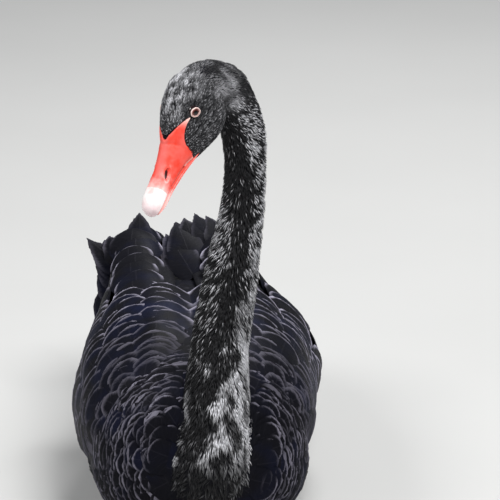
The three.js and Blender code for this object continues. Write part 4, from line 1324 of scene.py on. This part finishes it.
def make_bill():
    """The upper bill with its lores and nostrils, the nail and the lower bill."""
    start = NAIL_END - 1.2
    back = start + (BILL_END - start) * np.linspace(0, 1, 90)
    upper = loft(bill_rings(back, bill_half, bill_top, bill_mouth), True)
    mesh = blend_solids("upper_bill", [upper, lore_patch(1), lore_patch(-1)], 0.55, 5)
    points = mesh_points(mesh)
    place, out, up = head_coordinates(points)
    ahead = place - NOSTRIL_BACK
    above = up - NOSTRIL_UP - NOSTRIL_SLANT * ahead
    flank = np.abs(out) > 6
    slit = np.clip(1 - (ahead / SLIT[0]) ** 2 - (above / SLIT[1]) ** 2, 0, 1)
    lip = swell(np.sqrt((ahead / LIP[0]) ** 2 + (above / LIP[1]) ** 2), 1, 0.25)
    points += LEFT * (np.sign(out) * flank * (0.35 * lip - NOSTRIL_DEPTH * slit ** 0.7))[:, None]
    move_points(mesh, points)
    marks = bill_marks(points)
    # Painted shade: a negative ridge number paints the nostrils' hollows near black, over the dent made
    # above.
    marks[:, 1] -= 2 * np.clip(2.5 * slit - 0.9, 0, 1) * flank
    keep(mesh, bill=marks)
    show("upper_bill", mesh, bill_finish(), "red_bill", "bill_upper")

    back = 0.5 + (NAIL_END - 0.5) * np.linspace(0, 1, 60) ** 1.6
    points, faces = loft(bill_rings(back, bill_half, bill_top, bill_mouth, 96), True)
    mesh = fill("bill_nail", points, faces)
    keep(mesh, bill=bill_marks(points))
    show("bill_nail", mesh, nail_finish(), "pale_bill", "bill_tip")

    def lower_half(place):
        return np.maximum(bill_half(place) - JAW_INSET, 1)

    def lower_top(place):
        return bill_mouth(place) - MOUTH_GAP

    back = JAW_FRONT + (BILL_END - JAW_FRONT) * np.linspace(0, 1, 100)
    points, faces = loft(bill_rings(back, lower_half, lower_top, bill_chin, 64), True)
    mesh = fill("lower_bill", points, faces)
    keep(mesh, bill=bill_marks(points))
    show("lower_bill", mesh, bill_finish(), "red_bill", "bill_lower")


# The eyes

def eye_frames(side):
    """Across, up, out and the middle of an eye's opening."""
    look = unit(LEFT * side + AIM * EYE["ahead"] + CROWN * EYE["lift"])
    across = unit(np.cross(UP, look))
    centre = head_place(EYE["back"], side * EYE["out"], EYE["up"])
    return across, np.cross(look, across), look, centre


def make_eye(side, name):
    """An eyeball and the ring of bare skin round its opening."""
    across, rise, look, centre = eye_frames(side)
    ball, opening = EYE["ball"], EYE["opening"]
    middle = centre - look * math.sqrt(ball ** 2 - opening ** 2)
    lean, turn = np.meshgrid(np.linspace(0.001, math.pi - 0.001, 60), np.arange(72) / 72 * TURN,
                             indexing="ij")
    flat = (np.cos(turn)[..., None] * across + np.sin(turn)[..., None] * rise)
    radius = np.sin(lean)[..., None] * ball
    points, faces = loft(middle + flat * radius + look * np.cos(lean)[..., None] * ball, False)
    mesh = fill(f"eyeball_{name}", points, faces)
    out = radius.ravel()
    keep(mesh, eye=np.stack([out, np.abs(turn.ravel() - math.pi), 0 * out], axis=-1))
    show(f"eyeball_{name}", mesh, eye_finish(), "dark_eye", f"eye_{name}")

    profile = np.linspace(0, TURN, 20, endpoint=False)
    turn, ring = np.meshgrid(np.arange(96) / 96 * TURN, profile, indexing="ij")
    wobble = 1 + 0.02 * np.sin(5 * turn + 1) + 0.015 * np.sin(9 * turn)
    almond = 1 + 0.07 * np.cos(2 * turn - 0.9)
    radial = opening * wobble * almond + EYE["rim"] * np.cos(ring)
    height = 0.35 + 0.95 * np.sin(ring) - 0.25 * swell(np.cos(ring), -0.1, 0.25) * (np.sin(ring) > 0)
    flat = np.cos(turn)[..., None] * across + np.sin(turn)[..., None] * rise
    grid = centre + flat * radial[..., None] + look * height[..., None]
    faces = [torus_faces(96, 20)]
    mesh = fill(f"lid_{name}", grid.reshape(-1, 3), faces)
    place = (0.5 + 0.5 * np.cos(ring)).ravel()
    keep(mesh, eye=np.stack([place, turn.ravel(), 0 * place], axis=-1))
    show(f"lid_{name}", mesh, lid_finish(), "pale_skin", f"eyelid_{name}")


def torus_faces(rows, columns):
    """Faces over a grid of points that is closed both ways."""
    row, column = np.meshgrid(np.arange(rows), np.arange(columns), indexing="ij")
    after, beside = (row + 1) % rows, (column + 1) % columns
    faces = np.stack([row * columns + column, after * columns + column,
                      after * columns + beside, row * columns + beside], axis=-1)
    return faces.reshape(-1, 4)


# Feet folded under the rear of the body, webs flat on the floor

TOE_JOINT = np.array([80.0, 158.0, 8.0])
TOES = ((56, 58), (80, 42), (104, 60))
SHANK = ((64, 190, 66), (74, 216, 50), (74, 226, 31), (78, 200, 16), (80, 152, 8))
TOE_RADII, SHANK_RADII, CLAW_RADII = (8, 5.2, 3.0), (17, 12, 10, 7.6, 7.6), (2.0, 1.7, 0.4)
WEB_NOTCH, WEB_TOP, WEB_BOTTOM = 18, 2.6, 0.5


def tube(points, radii, count=40, sides=24):
    """Rings round a smooth course through points, with the radii of those points."""
    points = np.array(points, float)
    place = np.linspace(0, len(points) - 1, count)
    steps = [(i, point) for i, point in enumerate(points)]
    course = np.stack([through([(i, point[axis]) for i, point in steps])(place) for axis in range(3)],
                      axis=-1)
    lie = unit(np.gradient(course, axis=0))
    side = unit(np.cross(UP, lie))
    up = np.cross(lie, side)
    radius = through(list(enumerate(radii)))(place)[:, None, None]
    angle = (np.arange(sides) / sides * TURN)[None, :, None]
    return course[:, None] + radius * (side[:, None] * np.cos(angle) + up[:, None] * np.sin(angle))


def web(side):
    """A thin sheet between the toes, scalloped along its front edge."""
    x, y, _ = TOE_JOINT
    share, ahead = np.meshgrid(np.linspace(0, 1, 61), np.linspace(0, 1, 30), indexing="ij")
    front_x = TOES[0][0] + (TOES[2][0] - TOES[0][0]) * share
    toe_y = through([(0, TOES[0][1]), (0.5, TOES[1][1]), (1, TOES[2][1])])(share)
    notch = WEB_NOTCH * np.sin(TURN * share) ** 2
    front_y = toe_y + notch + 6
    root_x = x - 9 + 18 * share
    px = root_x + (front_x - root_x) * ahead ** 0.8
    py = y + (front_y - y) * ahead
    ribs = 0.35 * np.sin(ahead * 46) * np.sin(TURN * share) ** 2
    top = np.stack([side * px, py, WEB_TOP + ribs], axis=-1)
    bottom = np.stack([side * px, py, WEB_BOTTOM + 0 * px], axis=-1)
    return slab(top, bottom, side > 0)


def make_foot(side, name, material):
    """A webbed foot, its leg and its claws."""
    mirror = np.array([side, 1, 1])
    x, y, z = TOE_JOINT
    solids = [web(side)]
    for tx, ty in TOES:
        course = np.array([(x, y + 4, z), (x + (tx - x) * 0.55, y + (ty - y) * 0.55, 5.4),
                           (tx, ty + 8, 3.2)])
        solids.append(loft(tube(course * mirror, TOE_RADII), True))
    mesh = blend_solids(f"foot_{name}", solids, 1.1, 3)
    points = mesh_points(mesh)
    points[:, 2] = np.maximum(points[:, 2], LOWEST)
    move_points(mesh, points)
    show(f"webbed_foot_{name}", mesh, material, "dark_skin", f"foot_{name}")
    leg = loft(tube(np.array(SHANK) * mirror, SHANK_RADII, 60), True)
    mesh = blend_solids(f"leg_{name}", [leg], 1.2, 3)
    show(f"shank_{name}", mesh, material, "dark_skin", f"leg_{name}")
    claws = []
    for tx, ty in TOES:
        course = np.array([(tx, ty + 10, 4.4), (tx, ty + 3, 4.0), (tx, ty - 4.5, 1.2)])
        claws.append(loft(tube(course * mirror, CLAW_RADII, 16, 12), True))
    points, groups = join(claws)
    points[:, 2] = np.maximum(points[:, 2], LOWEST)
    show(f"claws_{name}", fill(f"claws_{name}", points, groups), material, "dark_skin")


# What a user may change, and the steps that build each group of pieces

class SwanColours(bpy.types.PropertyGroup):
    """Colours of the plumage."""

    vane: FloatVectorProperty(
        name="Vane", description="Colour of the broad dark feathers", subtype="COLOR", size=3,
        default=(0.005, 0.005, 0.007), min=0, max=1)
    # Painted highlight: the fringe colour stands in for light caught on the rims of the broad feathers, and
    # faintly tints their barbs and shaft.
    fringe: FloatVectorProperty(
        name="Fringe", description="Colour of their glinting pale edges", subtype="COLOR", size=3,
        default=(0.4, 0.38, 0.47), min=0, max=1)
    # Painted reflection: the blue sheen is mixed into the broad feathers' colour.
    sheen: FloatVectorProperty(
        name="Sheen", description="Blue sheen on the broad feathers", subtype="COLOR", size=3,
        default=(0.005, 0.008, 0.03), min=0, max=1)
    tuft: FloatVectorProperty(
        name="Tuft", description="Colour of the small feathers at their roots", subtype="COLOR", size=3,
        default=(0.004, 0.004, 0.005), min=0, max=1)
    # Painted highlight: the bright points stand in for light caught on the small feathers of the head and
    # neck.
    painted_glint: FloatVectorProperty(
        name="Glint", description="Colour of the bright points of the small feathers",
        subtype="COLOR", size=3, default=(0.86, 0.86, 0.9), min=0, max=1)
    white: FloatVectorProperty(
        name="White", description="Colour of the white flight feathers", subtype="COLOR", size=3,
        default=(0.62, 0.64, 0.7), min=0, max=1)


class SwanStage(bpy.types.PropertyGroup):
    """Light and camera."""

    key_power: FloatProperty(
        name="Key light", description="Power of the high front light", unit="POWER", default=95, min=0)
    side_power: FloatProperty(
        name="Side light", description="Power of the light from the swan's right", unit="POWER",
        default=28, min=0)
    rim_power: FloatProperty(
        name="Rim light", description="Power of the light from behind", unit="POWER", default=45, min=0)
    lens: FloatProperty(
        name="Lens", description="Focal length of the camera", unit="CAMERA", default=336.5, min=1)
    floor_size: FloatProperty(
        name="Floor", description="Width of the floor", unit="LENGTH", default=40, min=1)


class SWAN_OT_skin(bpy.types.Operator):
    """Melts body, neck and head into one skin"""

    bl_idname = "swan.skin"
    bl_label = "Skin"

    def execute(self, context):
        show("swan_skin", make_skin(), skin_finish(), "black_feather", *FLESH)
        return {"FINISHED"}


class SWAN_OT_bill(bpy.types.Operator):
    """Builds the upper bill with its lores, the nail and the lower bill"""

    bl_idname = "swan.bill"
    bl_label = "Bill"

    def execute(self, context):
        make_bill()
        return {"FINISHED"}


class SWAN_OT_eyes(bpy.types.Operator):
    """Builds both eyes and their bare lids"""

    bl_idname = "swan.eyes"
    bl_label = "Eyes"

    def execute(self, context):
        for side, name in SIDES:
            make_eye(side, name)
        return {"FINISHED"}


class SWAN_OT_small_feathers(bpy.types.Operator):
    """Covers the head, neck and body with small feathers"""

    bl_idname = "swan.small_feathers"
    bl_label = "Small feathers"

    def execute(self, context):
        colours = context.scene.swan_colours
        painted_glint = tuft_finish("glint_tufts", colours.tuft, colours.painted_glint)
        make_head_feathers(painted_glint)
        make_neck_feathers(painted_glint)
        scallops = feather_finish("breast_scallops", colours.vane, colours.fringe, colours.sheen, 3.2,
                                  (7.0, 22.0))
        make_body_feathers(scallops)
        return {"FINISHED"}


class SWAN_OT_wings(bpy.types.Operator):
    """Builds the folded wings: cores, coverts, flight feathers and plumes"""

    bl_idname = "swan.wings"
    bl_label = "Wings"

    def execute(self, context):
        colours = context.scene.swan_colours
        broad = feather_finish("broad_coverts", colours.vane, colours.fringe, colours.sheen, 5.5)
        # The white is the flight feathers' own colour; the brighter fringe is a painted highlight and the
        # bluish grey a painted sheen.
        white = feather_finish("white_vanes", colours.white, (0.8, 0.82, 0.86), (0.4, 0.45, 0.56), 2.0)
        core = skin_finish()
        for side, name in SIDES:
            show(f"wing_core_{name}", wing_core(side), core, "black_feather", f"wing_{name}")
            make_coverts(side, name, broad)
            make_plumes(side, name, broad)
            make_flight_feathers(side, name, white)
        return {"FINISHED"}


class SWAN_OT_tail(bpy.types.Operator):
    """Builds the short fan of the tail"""

    bl_idname = "swan.tail"
    bl_label = "Tail"

    def execute(self, context):
        colours = context.scene.swan_colours
        make_tail(feather_finish("tail_vanes", colours.vane, colours.fringe, colours.sheen, 1.4))
        return {"FINISHED"}


class SWAN_OT_feet(bpy.types.Operator):
    """Builds the folded legs, webbed feet and claws"""

    bl_idname = "swan.feet"
    bl_label = "Feet"

    def execute(self, context):
        material = foot_finish()
        for side, name in SIDES:
            make_foot(side, name, material)
        return {"FINISHED"}


WORLD_COLOUR, WORLD_STRENGTH = (0.9, 0.93, 1.0, 1), 0.2
LIT_POINT = (0, 0, 0.3)
KEY_AT, SIDE_AT, RIM_AT = (0.7, -1.6, 2.6), (-1.5, -0.4, 1.9), (0.6, 1.7, 2.2)
CAMERA_AT, CAMERA_TARGET = (-0.325, -4.966, 1.912), (0.048, -0.225, 0.367)
SENSOR_WIDTH = 36


def aimed(thing, at, target):
    """Puts a light or camera at a place, looking at a target."""
    thing.location = at
    thing.rotation_euler = (Vector(target) - Vector(at)).to_track_quat("-Z", "Y").to_euler()


class SWAN_OT_stage(bpy.types.Operator):
    """Lays the floor, hangs the lights and sets the camera"""

    bl_idname = "swan.stage"
    bl_label = "Stage"

    def execute(self, context):
        stage = context.scene.swan_stage
        reach = stage.floor_size / 2 / MM
        corners = np.array([(-reach, -reach, 0), (reach, -reach, 0), (reach, reach, 0), (-reach, reach, 0)])
        floor = bpy.data.objects.new("floor", fill("floor", corners.astype(float), [np.arange(4)[None]]))
        floor.data.materials.append(floor_finish())
        context.collection.objects.link(floor)
        world = bpy.data.worlds.new("studio")
        world.use_nodes = True
        background = world.node_tree.nodes["Background"]
        background.inputs["Color"].default_value = WORLD_COLOUR
        background.inputs["Strength"].default_value = WORLD_STRENGTH
        context.scene.world = world
        context.scene.view_settings.view_transform = "Standard"
        for name, power, size, at in (
                ("key", stage.key_power, 1.2, KEY_AT),
                ("side", stage.side_power, 0.8, SIDE_AT),
                ("rim", stage.rim_power, 0.8, RIM_AT)):
            light = bpy.data.lights.new(name, "AREA")
            light.energy = power
            light.size = size
            lamp = bpy.data.objects.new(name, light)
            context.collection.objects.link(lamp)
            aimed(lamp, at, LIT_POINT)
        camera = bpy.data.objects.new("camera", bpy.data.cameras.new("camera"))
        camera.data.lens = stage.lens
        camera.data.sensor_width = SENSOR_WIDTH
        camera.data.clip_end = 100
        context.collection.objects.link(camera)
        aimed(camera, CAMERA_AT, CAMERA_TARGET)
        context.scene.camera = camera
        return {"FINISHED"}


STEPS = (SWAN_OT_skin, SWAN_OT_bill, SWAN_OT_eyes, SWAN_OT_small_feathers, SWAN_OT_wings, SWAN_OT_tail,
         SWAN_OT_feet, SWAN_OT_stage)


class SWAN_PT_panel(bpy.types.Panel):
    """Lists the swan's settings and steps"""

    bl_label = "Black Swan"
    bl_idname = "SWAN_PT_panel"
    bl_space_type = "VIEW_3D"
    bl_region_type = "UI"
    bl_category = "Swan"

    def draw(self, context):
        for group in (context.scene.swan_colours, context.scene.swan_stage):
            for name in group.bl_rna.properties.keys():
                if name not in ("rna_type", "name"):
                    self.layout.prop(group, name)
        for step in STEPS:
            self.layout.operator(step.bl_idname)


CLASSES = (SwanColours, SwanStage, *STEPS, SWAN_PT_panel)


def register():
    for each in CLASSES:
        bpy.utils.register_class(each)
    bpy.types.Scene.swan_colours = PointerProperty(type=SwanColours)
    bpy.types.Scene.swan_stage = PointerProperty(type=SwanStage)


def unregister():
    del bpy.types.Scene.swan_stage
    del bpy.types.Scene.swan_colours
    for each in reversed(CLASSES):
        bpy.utils.unregister_class(each)


def main():
    register()
    bpy.ops.swan.stage()
    bpy.ops.swan.skin()
    bpy.ops.swan.bill()
    bpy.ops.swan.eyes()
    bpy.ops.swan.small_feathers()
    bpy.ops.swan.wings()
    bpy.ops.swan.tail()
    bpy.ops.swan.feet()


if __name__ == "__main__":
    main()
